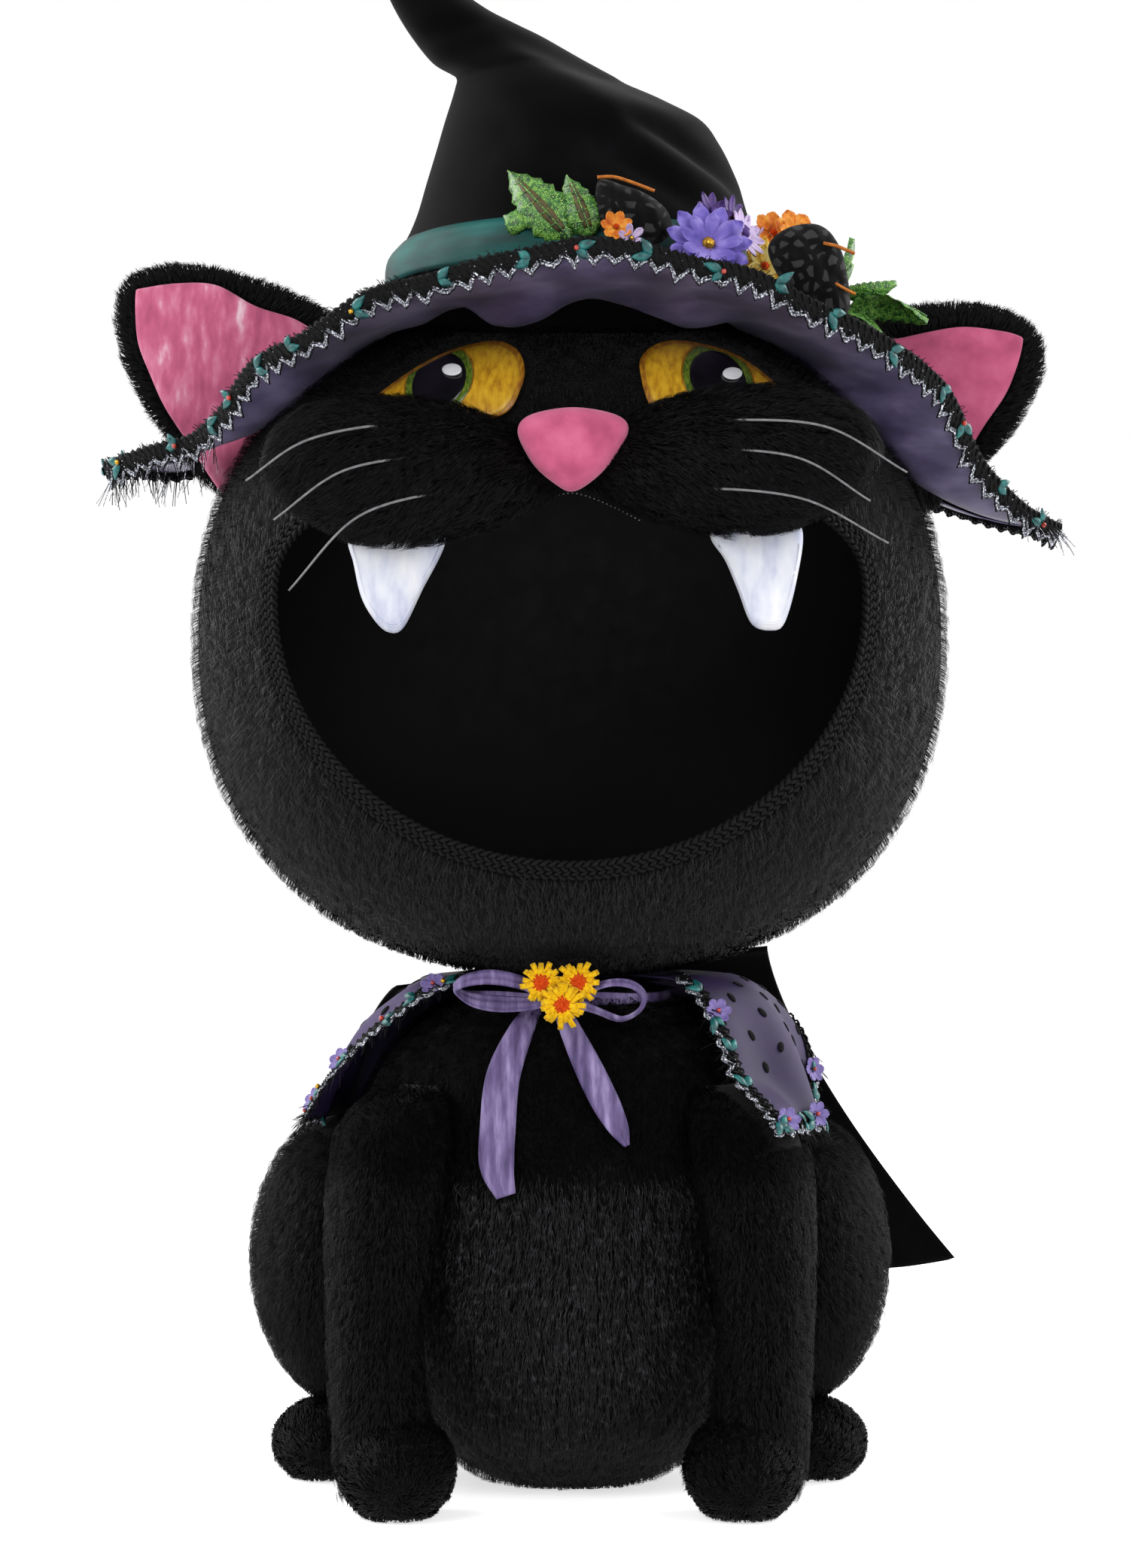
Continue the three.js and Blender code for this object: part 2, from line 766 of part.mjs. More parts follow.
function capePlace(u, v) {
  const along = (low, high, share) => low.map((value, axis) => value + (high[axis] - value) * share);
  const top = along(capeTopLeft, capeTopRight, u);
  const hem = along(capeHemLeft, capeHemRight, u);
  const bow = Math.sin(Math.PI * u);
  const x = top[0] + (hem[0] - top[0]) * v;
  const behind = top[1] + capeNeckBack * bow;
  const hemBehind = hem[1] + capeHemBack * bow;
  const ripple = capeFold * v * Math.cos(u * Math.PI * 2 * capeFolds);
  const y = behind + (hemBehind - behind) * v ** capeFlarePower + ripple;
  return new THREE.Vector3(x, y, top[2] + (hem[2] - top[2]) * v ** capeFallPower);
}

function addCapes() {
  const bodySpace = torsoForm(capeThickness);
  const legSpaces = [-1, 1].map((hand) => forelegForm(hand, clearance));
  const haunchSpaces = [-1, 1].map((hand) => toSolid(
    oval([hand * haunchCentre[0], haunchCentre[1], haunchCentre[2]], haunchHalf, clearance, haunchSteps),
  ));
  const capeSpace = toSolid(cloth(capePlace, ...capeSteps, clearance, capeThickness + clearance));
  sides((side) => {
    const panel = cloth(capeletPlace(side), ...capeletSteps, capeletThickness, 0);
    const spaces = [bodySpace, ...legSpaces, ...haunchSpaces, capeSpace];
    addSolid(`capelet_${side}`, cut(toSolid(panel), ...spaces), looks.purple);
  });
  const cape = toSolid(cloth(capePlace, ...capeSteps, 0, capeThickness));
  addSolid('back_cape', cut(cape, bodySpace, ...haunchSpaces), looks.velvet);
}

function addRibbon() {
  const bandSpace = toSolid(block(
    [-ribbonHalfLength, -torsoFront, ribbonZ - ribbonHeight / 2],
    [ribbonHalfLength, -discSetBack, ribbonZ + ribbonHeight / 2],
  ));
  const bandOuter = torsoForm(clearance * 2 + ribbonThickness);
  const band = bandOuter.subtract(torsoForm(clearance * 2)).intersect(bandSpace);
  const capeletSpaces = ['left', 'right'].map((side) => toSolid(
    cloth(capeletPlace(side), ...capeletSteps, capeletThickness + clearance, clearance),
  ));
  const bandSolid = cut(band, ...capeletSpaces);
  addSolid('neck_ribbon', bandSolid, looks.lavender);
  const ribbonSpace = torsoForm(clearance * 3 + ribbonThickness);
  const bowY = chestY(bowX, bowZ) - bowStand;
  const daisyFront = bowY - daisyStand;
  sides((side, hand) => {
    const half = bowLoopHalf;
    const centre = [bowX + hand * (half[0] + clearance / 2), bowY, bowZ + bowLoopRise];
    const loop = toSolid(oval(centre, half));
    const daisySpace = toSolid(block([-beyond, -beyond, -beyond], [beyond, daisyFront + clearance, beyond]));
    addSolid(`bow_loop_${side}`, cut(loop, daisySpace, ribbonSpace), looks.lavender);
    addBowTail(side);
  });
  daisyPlaces.forEach(([across, up], index) => {
    const flower = flowerForm(daisyRadius, daisyPetals, daisyThickness);
    const layer = index < 2 ? 0 : daisyThickness + clearance;
    flower.translate(bowX + across, daisyFront - daisyThickness - layer, bowZ + up);
    addMesh(`bow_daisy_${index + 1}`, flower, looks.daisy);
  });
}

// One tail of the bow lies on the chest, and leaves the knot under the loops.
function addBowTail(side) {
  const tail = bowTails[side];
  const top = bowZ - bowLoopHalf[2];
  const place = (u, v) => {
    const z = top - tail.length * v;
    const width = tail.width * (bowTailRootShare + (1 - bowTailRootShare) * Math.sqrt(v));
    const x = bowX + tail.root + (tail.across - tail.root) * v + width * (u - 0.5);
    return new THREE.Vector3(x, chestY(x, z) - bowTailStand, z);
  };
  const strip = toSolid(cloth(place, ...bowTailSteps, bowTailThickness, 0));
  addSolid(`bow_tail_${side}`, cut(strip, torsoForm(clearance)), looks.lavender);
}

// The front of the torso at a place across and up
function chestY(x, z) {
  const share = (z - torsoLift) / torsoHeight;
  const above = torsoShares.findIndex(([up]) => up >= share);
  const [low, high] = [torsoShares[above - 1], torsoShares[above]];
  const blend = (share - low[0]) / (high[0] - low[0]);
  const [, wide, ahead, behind] = low.map((value, index) => value + (high[index] - value) * blend);
  const middle = (torsoBack * behind - torsoFront * ahead) / 2;
  const half = (torsoBack * behind + torsoFront * ahead) / 2;
  const across = Math.min(Math.abs(x) / (torsoHalfWidth * wide), 1);
  return middle - half * Math.sqrt(1 - across * across);
}

// A flower of round petals, standing up and facing -Y, centred on the origin
function flowerForm(radius, petals, depth) {
  const outline = new THREE.Shape();
  const steps = petals * stepsPerPetal;
  for (let step = 0; step < steps; step += 1) {
    const turn = (step / steps) * Math.PI * 2;
    const reach = radius * (1 - petalDepthShare * (1 - Math.cos(turn * petals)) / 2);
    const place = [reach * Math.cos(turn), reach * Math.sin(turn)];
    if (step === 0) {
      outline.moveTo(...place);
    } else {
      outline.lineTo(...place);
    }
  }
  return plate(outline, depth, 0);
}

// Head

function headRadii(grow) {
  return [headHalfWidth + grow, headHalfDepth + grow, headHalfHeight + grow];
}

function headForm(grow = 0, [across, down] = headSteps) {
  const [wide, deep, high] = headRadii(grow);
  const power = 2 / headPower;
  const polar = 90 - headPoleDegrees;
  const between = Array.from({ length: down - 1 }, (_, row) => ((row + 1) / down) * 180 - 90);
  const rings = [-polar, ...between, polar].map((degrees) => {
    const tilt = radians(degrees);
    const level = Math.cos(tilt) ** power;
    const up = Math.sign(tilt) * Math.abs(Math.sin(tilt)) ** power;
    return ovalRing(0, headY, headCentreZ + high * up, wide * level, deep * level, across);
  });
  return toSolid(skin(rings));
}

// The front of the head at a place across and up
function faceY(x, z, grow = 0) {
  const [wide, deep, high] = headRadii(grow);
  const up = Math.min(Math.abs(z - headCentreZ) / high, 1);
  const level = (1 - up ** headPower) ** (2 / headPower) - (x / wide) ** 2;
  return headY - deep * Math.sqrt(Math.max(level, 0));
}

// The mouth's edge, drawn in by the given inset
function mouthEdge(inset, count) {
  return Array.from({ length: count }, (_, step) => {
    const turn = (step / count) * Math.PI * 2;
    const [across, up] = [Math.cos(turn), Math.sin(turn)];
    const power = up > 0 ? 2 / mouthTopPower : 1;
    const height = up > 0 ? mouthAbove : mouthBelow;
    return new THREE.Vector2(
      Math.sign(across) * Math.abs(across) ** power * (mouthHalfWidth - inset),
      mouthCentreZ + Math.sign(up) * Math.abs(up) ** power * (height - inset),
    );
  });
}

const head = headForm();
const headSpace = headForm(clearance);

// All that lies behind or before the seam between the bowl's two moulded halves
function behindSeam(shift) {
  return toSolid(block([-beyond, headY + shift, -beyond], [beyond, beyond, beyond]));
}

function beforeSeam(shift) {
  return toSolid(block([-beyond, -beyond, -beyond], [beyond, headY + shift, beyond]));
}

function addHead() {
  const mouth = toSolid(plate(new THREE.Shape(mouthEdge(0, mouthSteps)), beyond, headY - beyond));
  const bowlGrow = -(plushThickness + clearance);
  const bowlOuter = headForm(bowlGrow);
  const bowlInner = headForm(bowlGrow - bowlWall);
  const bore = postRadius + turningGap;
  const socketRadius = bore + socketWall;
  const holeFoot = headBottom - overrun;
  const socketHole = toSolid(cylinder(socketRadius + clearance, holeFoot, headCentreZ, 0, postY));
  addSolid('head_plush', cut(head, headForm(-plushThickness), mouth, socketHole), looks.fur);
  const bowl = cut(bowlOuter, bowlInner, mouth, socketHole);
  addSolid('bowl_front', cut(bowl, behindSeam(-clearance / 2)), looks.bowl);
  addSolid('bowl_back', cut(bowl, beforeSeam(clearance / 2)), looks.bowl);
  const seat = headBottom - bowlGrow + bowlWall + socketFoot + clearance;
  const socketTop = postTop + clearance + socketCap;
  const socket = turned([
    [0, socketTop],
    [0, postTop + clearance],
    [bore, postTop + clearance],
    [bore, headBottom + clearance],
    [socketRadius, headBottom + clearance],
    [socketRadius, seat],
    [socketFlangeRadius, seat],
    [socketFlangeRadius, seat + socketFlangeThickness],
    [socketRadius, seat + socketFlangeThickness],
    [socketRadius, socketTop],
    [0, socketTop],
  ], 0, postY);
  addMesh('head_socket', socket, looks.socket);
  addTrim();
}

function addTrim() {
  const inset = trimRadius + trimGap;
  const [count, corners] = trimSteps;
  const middle = mouthEdge(inset, count);
  const places = middle.map(({ x, y }) => new THREE.Vector3(x, faceY(x, y, -trimDepth), y));
  const rings = places.map((place, index) => {
    const ahead = places[(index + 1) % count].clone().sub(places[(index + count - 1) % count]).normalize();
    const side = new THREE.Vector3(0, 1, 0).cross(ahead).normalize();
    const over = new THREE.Vector3().crossVectors(ahead, side);
    return Array.from({ length: corners }, (_, corner) => {
      const turn = (corner / corners) * Math.PI * 2;
      return place.clone().addScaledVector(side, trimRadius * Math.cos(turn))
        .addScaledVector(over, trimRadius * Math.sin(turn));
    });
  });
  const faces = [];
  rings.forEach((_, ring) => rings[ring].forEach((__, corner) => {
    const here = ring * corners + corner;
    const next = ring * corners + ((corner + 1) % corners);
    const [farHere, farNext] = [here, next].map((value) => (value + corners) % (count * corners));
    faces.push(here, next, farHere, next, farNext, farHere);
  }));
  addMesh('mouth_trim', meshOf(rings.flat(), faces), looks.braid);
}

function cheekCentre(hand) {
  return [hand * cheekSpread, headY - cheekForward, cheekZ + hand * cheekLift];
}

function cheekForm(hand, grow = 0) {
  const geometry = oval([0, 0, 0], cheekHalf, grow, haunchSteps);
  geometry.rotateY(hand * radians(cheekDroopDegrees));
  geometry.translate(...cheekCentre(hand));
  return toSolid(geometry);
}

function addFace() {
  const cheekSpaces = [-1, 1].map((hand) => cheekForm(hand, clearance));
  const socketForEyes = headForm(clearance + eyeThickness).subtract(headSpace);
  sides((side, hand) => {
    const middle = toSolid(block(
      [hand < 0 ? -clearance / 2 : -beyond, -beyond, -beyond],
      [hand < 0 ? beyond : clearance / 2, beyond, beyond],
    ));
    addSolid(`cheek_${side}`, cut(cheekForm(hand), headSpace, middle), looks.fur);
    const rings = fangShares.map(([down, wide, deep]) => ovalRing(
      hand * fangSpread, headY - fangForward, fangTopZ - fangHeight * down,
      fangHalfWidth * wide, fangHalfDepth * deep, limbSteps,
    ));
    const fang = toSolid(skin(rings.reverse()));
    addSolid(`fang_${side}`, cut(fang, ...cheekSpaces), looks.white);
    const eyeOutline = new THREE.Shape();
    eyeOutline.absellipse(
      hand * eyeSpread + eyeShift, eyeZ, eyeHalfWidth, eyeHalfHeight, 0, Math.PI * 2, false,
      -hand * radians(eyeSlantDegrees),
    );
    const beam = toSolid(plate(eyeOutline, beyond, headY - beyond, 0, eyeSteps));
    addSolid(`eye_${side}`, cut(socketForEyes.intersect(beam), ...cheekSpaces), looks.gold);
  });
  const noseEdge = noseShares.map(([across, up]) => (
    new THREE.Vector2(noseHalfWidth * across, noseZ + noseHeight * up)
  ));
  const noseFront = headY - noseForward - noseDepth;
  const noseSolid = toSolid(plate(smoothOutline(noseEdge), noseDepth + noseBevel, noseFront, noseBevel));
  addSolid('nose', cut(noseSolid, ...cheekSpaces, headSpace), looks.pink);
  addWhiskers(cheekSpaces);
}

function addWhiskers(cheekSpaces) {
  const counts = { left: 0, right: 0 };
  whiskerRuns.forEach(({ side, root, tip }) => {
    const hand = side === 'left' ? -1 : 1;
    const [x, y, z] = cheekCentre(hand);
    const level = 1 - (root[0] / cheekHalf[0]) ** 2 - (root[1] / cheekHalf[2]) ** 2;
    const start = new THREE.Vector3(x + hand * root[0], y - cheekHalf[1] * Math.sqrt(level), z + root[1]);
    const end = new THREE.Vector3(x + hand * tip[0], start.y - whiskerForward, z + tip[1]);
    const middle = start.clone().lerp(end, 0.5).add(new THREE.Vector3(0, -whiskerForward, whiskerArch));
    const run = toSolid(taperedTube([start, middle, end], () => whiskerRadius, ...whiskerSteps));
    counts[side] += 1;
    addSolid(`whisker_${side}_${counts[side]}`, cut(run, ...cheekSpaces), looks.whisker);
  });
}

function addEars() {
  sides((side, hand) => {
    const points = earShares.map(([out, up]) => new THREE.Vector2(earWidth * out, earHeight * up));
    points.unshift(new THREE.Vector2(0, 0));
    const turn = -radians(earTurnDegrees[side]);
    const [footX, footZ] = earFeet[side];
    const place = (geometry) => {
      geometry.rotateY(-turn);
      geometry.translate(footX, headY, footZ);
      return toSolid(hand < 0 ? mirrored(geometry) : geometry);
    };
    const ear = place(plate(smoothOutline(points), earThickness, earFront, earBevel, earSteps));
    addSolid(`ear_${side}`, cut(ear, headSpace), looks.fur);
    const centre = middleOf(points.map((point) => new THREE.Vector3(point.x, point.y, 0)));
    const lining = points.map((point) => (
      point.clone().sub(centre).multiplyScalar(earLiningShare).add(centre)
    ));
    const front = earFront - clearance - earLiningThickness;
    const liningSolid = place(plate(smoothOutline(lining), earLiningThickness, front, 0, earSteps));
    addSolid(`ear_lining_${side}`, cut(liningSolid, headSpace), looks.pink);
  });
}

// Hat

function crownForm(grow = 0, rings = crownRings.length, drop = 0) {
  const places = crownRings.slice(0, rings).map(({ shares: [across, up, round], lean }, index) => {
    const tilt = radians(lean);
    const radius = crownRadius * round + grow;
    const height = crownFoot + crownHeight * up - (index === 0 ? drop : 0);
    return Array.from({ length: crownSteps }, (_, step) => {
      const turn = (step / crownSteps) * Math.PI * 2;
      const reach = radius * Math.cos(turn);
      const x = crownRadius * across + reach * Math.cos(tilt);
      return new THREE.Vector3(x, headY + radius * Math.sin(turn), height + reach * Math.sin(tilt));
    });
  });
  return toSolid(skin(places));
}

// Reach and drop of the brim's edge at an angle round from +X
function brimEdge(degrees) {
  const wrapped = THREE.MathUtils.euclideanModulo(degrees + 180, 360) - 180;
  const above = Math.max(brimEdgeShares.findIndex(([angle]) => angle >= wrapped), 1);
  const [low, high] = [brimEdgeShares[above - 1], brimEdgeShares[above]];
  const blend = (wrapped - low[0]) / (high[0] - low[0]);
  return [1, 2].map((index) => low[index] + (high[index] - low[index]) * blend);
}

function brimPlace(inner) {
  return (u, v) => {
    const degrees = -90 + u * 360;
    const [reach, drop] = brimEdge(degrees);
    const turn = radians(degrees);
    const radius = inner + (brimReach * reach - inner) * v;
    const sideways = Math.cos(turn) ** 2;
    const front = v ** brimFrontPower;
    const flare = 1 - (1 - v) ** brimSidePower;
    const fall = front + (flare - front) * sideways;
    return new THREE.Vector3(
      radius * Math.cos(turn), headY + radius * Math.sin(turn), brimRootZ - brimDroop * drop * fall,
    );
  };
}

const crownBase = crownRadius * crownRings[1].shares[2];
const brimInner = crownBase + clearance * 2;

function brimForm(above, below) {
  return toSolid(cloth(brimPlace(brimInner), ...brimSteps, below, above, true));
}

function notches() {
  return [[-beyond, -notchStart], [notchStart, beyond]].map(([low, high]) => toSolid(
    block([low, headY - notchFront, -beyond], [high, headY + notchBack, beyond]),
  ));
}

function addHat() {
  const hollow = crownForm(-crownWall, hollowRings, overrun);
  addSolid('hat_crown', cut(crownForm(), hollow, headSpace), looks.velvet);
  const bandSlab = toSolid(block(
    [-beyond, -beyond, bandFoot], [beyond, beyond, bandFoot + bandHeight],
  ));
  const band = crownForm(clearance + bandThickness).subtract(crownForm(clearance)).intersect(bandSlab);
  addSolid('hat_band', mainBody(band), looks.teal);
  const crownSpace = crownForm(clearance);
  const brim = brimForm(brimThickness, 0);
  addSolid('hat_brim', cut(brim, ...notches(), headSpace, crownSpace), looks.velvet);
  const lining = brimForm(-clearance, clearance + liningThickness);
  addSolid('brim_lining', cut(lining, ...notches(), headSpace, crownSpace), looks.lavender);
  addTrimmings();
}

function addTrimmings() {
  const crownSpace = crownForm(clearance * 2 + bandThickness);
  const brimSpace = brimForm(brimThickness + clearance, clearance);
  const onHat = ([x, out, up]) => [x, headY - crownRadius - out, crownFoot + up];
  const loopSpaces = hatLoops.map(({ centre, half }) => toSolid(oval(onHat(centre), half, clearance)));
  hatLoops.forEach(({ name, centre, half }) => {
    const loop = toSolid(oval(onHat(centre), half));
    addSolid(name, cut(loop, crownSpace, brimSpace), looks.loop);
  });
  hatLeaves.forEach(({ name, foot, length, leanDegrees }) => {
    const half = (length * leafWidthShare) / 2;
    const edge = leafShares.map(([across, up]) => new THREE.Vector2(half * across, length * up));
    const leaf = plate(smoothOutline(edge), leafThickness, 0);
    leaf.rotateY(radians(leanDegrees));
    leaf.translate(...onHat(foot));
    addSolid(name, cut(toSolid(leaf), crownSpace, brimSpace, ...loopSpaces), looks.leaf);
  });
  hatFlowers.forEach(({ name, centre, radius, petals, look }) => {
    const flower = flowerForm(radius, petals, flowerThickness);
    flower.translate(...onHat(centre));
    addSolid(name, cut(toSolid(flower), crownSpace, brimSpace, ...loopSpaces), looks[look]);
  });
}

addBase();
addTorso();
addLegs();
addTail();
addCapes();
addRibbon();
addHead();
addFace();
addEars();
addHat();

export default part;
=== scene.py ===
"""Looks of a large stuffed black cat in a witch's hat, with a treat bowl for a head.

Measures are in millimetres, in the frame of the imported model, and turn to metres where a mesh is made.
The cat faces -Y and +Z is up. A colour is written as it is seen, from 0 to 1.
"""
import math

import bmesh
import bpy
import numpy as np
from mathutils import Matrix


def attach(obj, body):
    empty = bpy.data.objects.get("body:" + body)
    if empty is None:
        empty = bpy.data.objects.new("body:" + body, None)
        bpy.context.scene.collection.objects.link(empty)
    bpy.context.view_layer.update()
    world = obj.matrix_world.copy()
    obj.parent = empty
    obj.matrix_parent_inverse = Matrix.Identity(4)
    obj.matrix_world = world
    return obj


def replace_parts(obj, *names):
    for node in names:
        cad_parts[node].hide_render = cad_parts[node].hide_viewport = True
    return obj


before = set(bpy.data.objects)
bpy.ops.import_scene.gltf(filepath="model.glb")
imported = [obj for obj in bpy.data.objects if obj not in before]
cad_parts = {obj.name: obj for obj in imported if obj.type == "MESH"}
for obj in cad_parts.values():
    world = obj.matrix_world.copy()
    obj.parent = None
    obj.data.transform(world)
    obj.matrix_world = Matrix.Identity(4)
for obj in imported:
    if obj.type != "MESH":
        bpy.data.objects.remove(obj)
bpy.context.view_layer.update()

MM = 0.001
# a skin is closed where its faces' directions cancel out to this share of their area
CLOSED_SHARE = 1e-6
# nothing goes lower than this over the floor
FLOOR_GAP = 0.3
SIDES = {-1: "left", 1: "right"}

# How the photograph was taken: its middle and size in its own pixels, and the camera that sees it so
CENTRE_X = 757
CENTRE_Y = 1042
CAMERA_HEIGHT = 415
CAMERA_DISTANCE = 2800
CAMERA_SIDE = -3.1
CAMERA_LENS = 108.2
CAMERA_SENSOR = 36
PIXEL = 0.447


def spot(across, down, depth):
    """The place x, z that shows at a point of the photograph, for something at the given y."""
    scale = PIXEL * (1 + depth / CAMERA_DISTANCE)
    return (across - CENTRE_X) * scale, CAMERA_HEIGHT + (CENTRE_Y - down) * scale


def spots(points, depth):
    return np.array([spot(across, down, depth) for across, down in points])


# Meshes

PETAL_ROOT_SHARE = 0.15
PETAL_THICKNESS = 0.5
PETAL_WAVE = 0.2


def outward(shape):
    """The shape, with its faces turned to the outside where it is a closed skin."""
    points, *faces = shape
    points = np.asarray(points, float)
    if not faces:
        return points, *faces
    volume, turned, area = 0.0, np.zeros(3), 0.0
    for block in map(np.asarray, faces):
        corners = points[block] - points.mean(0)
        for corner in range(1, block.shape[1] - 1):
            cross = np.cross(corners[:, corner] - corners[:, 0], corners[:, corner + 1] - corners[:, 0])
            volume += (corners[:, 0] * cross).sum()
            turned += cross.sum(0)
            area += np.linalg.norm(cross, axis=1).sum()
    closed = np.linalg.norm(turned) < CLOSED_SHARE * area
    if closed and volume < 0:
        faces = [np.asarray(block)[:, ::-1] for block in faces]
    return points, *faces


class Heap:
    """Collects many small shapes into one piece."""

    def __init__(self):
        self.points = []
        self.faces = []
        self.looks = []
        self.count = 0

    def add(self, shape, look=0):
        points, *faces = outward(shape)
        self.points.append(points)
        for block in faces:
            block = np.asarray(block, int)
            if len(block):
                self.faces.append(block + self.count)
                self.looks.append(np.full(len(block), look))
        self.count += len(points)

    def make(self, name, body, slot, materials):
        points = np.concatenate(self.points) * MM
        corners = np.concatenate([block.ravel() for block in self.faces])
        totals = np.concatenate([np.full(len(block), block.shape[1]) for block in self.faces])
        mesh = bpy.data.meshes.new(name)
        mesh.vertices.add(len(points))
        mesh.vertices.foreach_set("co", points.ravel())
        mesh.loops.add(len(corners))
        mesh.loops.foreach_set("vertex_index", corners.astype(np.int32))
        mesh.polygons.add(len(totals))
        starts = np.concatenate([[0], np.cumsum(totals)[:-1]])
        mesh.polygons.foreach_set("loop_start", starts.astype(np.int32))
        mesh.polygons.foreach_set("loop_total", totals.astype(np.int32))
        for material in materials:
            mesh.materials.append(material)
        looks = np.concatenate(self.looks).astype(np.int32)
        mesh.polygons.foreach_set("material_index", looks)
        mesh.polygons.foreach_set("use_smooth", np.ones(len(totals), bool))
        mesh.update(calc_edges=True)
        mesh.validate()
        piece = bpy.data.objects.new(name, mesh)
        bpy.context.scene.collection.objects.link(piece)
        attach(piece, body)
        return piece


def make(name, shape, body, slot, material):
    """A piece of one shape."""
    heap = Heap()
    heap.add(shape)
    return heap.make(name, body, slot, [material])


def sewn(name, shape, body, slot, material, node, **sheet):
    """A sheet of cloth in the place of a CAD node. The rest says how large it is cut and how it is held, and
    is not used.
    """
    piece = make(name, shape, body, slot, material)
    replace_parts(piece, node)


def padded(name, shape, body, slot, material, node):
    """A stuffed piece in the place of a CAD node."""
    piece = make(name, shape, body, slot, material)
    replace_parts(piece, node)


def unit(vectors):
    vectors = np.asarray(vectors, float)
    return vectors / np.maximum(np.linalg.norm(vectors, axis=-1, keepdims=True), 1e-9)


def full_turn(count):
    """Even angles all the way round."""
    return np.arange(count) / count * math.tau


def quads(rows, columns, closed=False):
    """Faces of a grid of points, whose rows may close round."""
    across = np.arange(columns if closed else columns - 1)
    row, column = np.meshgrid(np.arange(rows - 1), across, indexing="ij")
    right = (column + 1) % columns
    corners = [row * columns + column, row * columns + right]
    return np.stack([*corners, corners[1] + columns, corners[0] + columns], -1).reshape(-1, 4)


def slopes(grid, closed=False):
    """The unit normals of a grid of points."""
    if closed:
        along = np.roll(grid, -1, 1) - np.roll(grid, 1, 1)
    else:
        along = np.gradient(grid, axis=1)
    down = np.gradient(grid, axis=0)
    return unit(np.cross(along, down))


def cloth(grid, thickness, closed=False):
    """A sheet with its outer face on the grid and its thickness below."""
    rows, columns = grid.shape[:2]
    inner = grid - slopes(grid, closed) * thickness
    faces = quads(rows, columns, closed)
    under = rows * columns
    across, down = np.arange(columns if closed else columns - 1), np.arange(rows - 1) * columns
    beside, last = (across + 1) % columns, (rows - 1) * columns
    walls = [(across, beside), (last + beside, last + across)]
    if not closed:
        walls += [(down + columns, down), (down + columns - 1, down + 2 * columns - 1)]
    wall = [np.stack([b, a, a + under, b + under], -1) for a, b in walls]
    points = np.concatenate([grid.reshape(-1, 3), inner.reshape(-1, 3)])
    return points, np.concatenate([faces, faces[:, ::-1] + under, *wall])


def lofted(rings):
    """A skin over rings of points, with a flat cap on each end."""
    rings = np.asarray(rings, float)
    count, sides = rings.shape[:2]
    caps = np.array([np.arange(sides)[::-1], (count - 1) * sides + np.arange(sides)])
    return rings.reshape(-1, 3), quads(count, sides, True), caps


def tube(path, radius, sides=6, closed=False, guide=(0.31, 0.17, 0.94), squash=1.0):
    """A round cord along a path. The guide sets how its sections turn."""
    path = np.asarray(path, float)
    if closed:
        ahead = np.roll(path, -1, 0) - np.roll(path, 1, 0)
    else:
        ahead = np.gradient(path, axis=0)
    ahead = unit(ahead)
    side = unit(np.cross(ahead, np.broadcast_to(guide, path.shape)))
    over = np.cross(side, ahead)
    turn = full_turn(sides)
    radius = np.broadcast_to(radius, (len(path),))[:, None, None]
    rings = path[:, None] + radius * (
        side[:, None] * np.cos(turn)[None, :, None] + over[:, None] * np.sin(turn)[None, :, None] * squash
    )
    if closed:
        rings = np.concatenate([rings, rings[:1]])
        points = rings[:-1].reshape(-1, 3)
        faces = quads(len(path) + 1, sides, True) % len(points)
        return points, faces
    return lofted(rings)


def ball(centre, half, across=8, down=6):
    """A closed egg shape."""
    tilt = np.linspace(0.12, math.pi - 0.12, down)[:, None]
    turn = full_turn(across)
    rings = np.stack([np.sin(tilt) * np.cos(turn), np.sin(tilt) * np.sin(turn), np.cos(tilt) + 0 * turn], -1)
    points, faces, caps = lofted(rings[::-1])
    return np.asarray(centre) + points * np.asarray(half), faces, caps


def placed(shape, origin, across, up, out):
    """Moves a shape from its own axes, across, up and out, to the frame's."""
    points, *faces = shape
    axes = np.array([across, up, out], float)
    return np.asarray(origin) + points @ axes, *faces


def leaf(length, width, curl, rows, serrated=False, thickness=0.5):
    """A pointed leaf that lies across and up from its foot, with its face out."""
    v = np.linspace(0, 1, rows)
    outline = np.sin(np.pi * v ** 0.8) ** 0.9 * width / 2
    if serrated:
        outline = outline * (1 + 0.16 * (np.arange(rows) % 2) - 0.08)
    u = np.linspace(-1, 1, 5)
    grid = np.zeros((rows, 5, 3))
    grid[..., 0] = u * (outline[:, None] + 0.15)
    grid[..., 1] = v[:, None] * length
    grid[..., 2] = curl * length * np.sin(np.pi * v)[:, None] - 0.18 * width * u ** 2
    return cloth(grid, thickness)


def petal_ring(count, radius, width, cup, pointed, turn):
    """The petals of a flower that lies across and up from its middle, with its face out."""
    shapes = []
    v = np.linspace(0, 1, 7)
    u = np.linspace(-1, 1, 5)
    outline = np.sin(np.pi * v ** (1.5 - pointed)) ** (0.55 + 0.5 * pointed) * width / 2 + 0.2
    reach = radius * (PETAL_ROOT_SHARE + (1 - PETAL_ROOT_SHARE) * v)
    for index in range(count):
        angle = turn + index / count * math.tau
        lift = cup * radius * v ** 1.6 * (1 + PETAL_WAVE * math.sin(5 * index + 1))
        flat = [reach[:, None] + 0 * u, u * outline[:, None], lift[:, None] + 0.12 * width * u ** 2]
        cos, sin = math.cos(angle), math.sin(angle)
        grid = np.stack(flat, -1) @ np.array([[cos, sin, 0], [-sin, cos, 0], [0, 0, 1]])
        shapes.append(cloth(grid[:, ::-1], PETAL_THICKNESS))
    return shapes


def reach_of(ring, away):
    """How far a ring round the origin reaches towards each of some places."""
    angles = np.arctan2(ring[:, 1], ring[:, 0])
    order = np.argsort(angles)
    towards = np.arctan2(away[:, 1], away[:, 0])
    return np.interp(towards, angles[order], np.hypot(*ring.T)[order], period=math.tau)


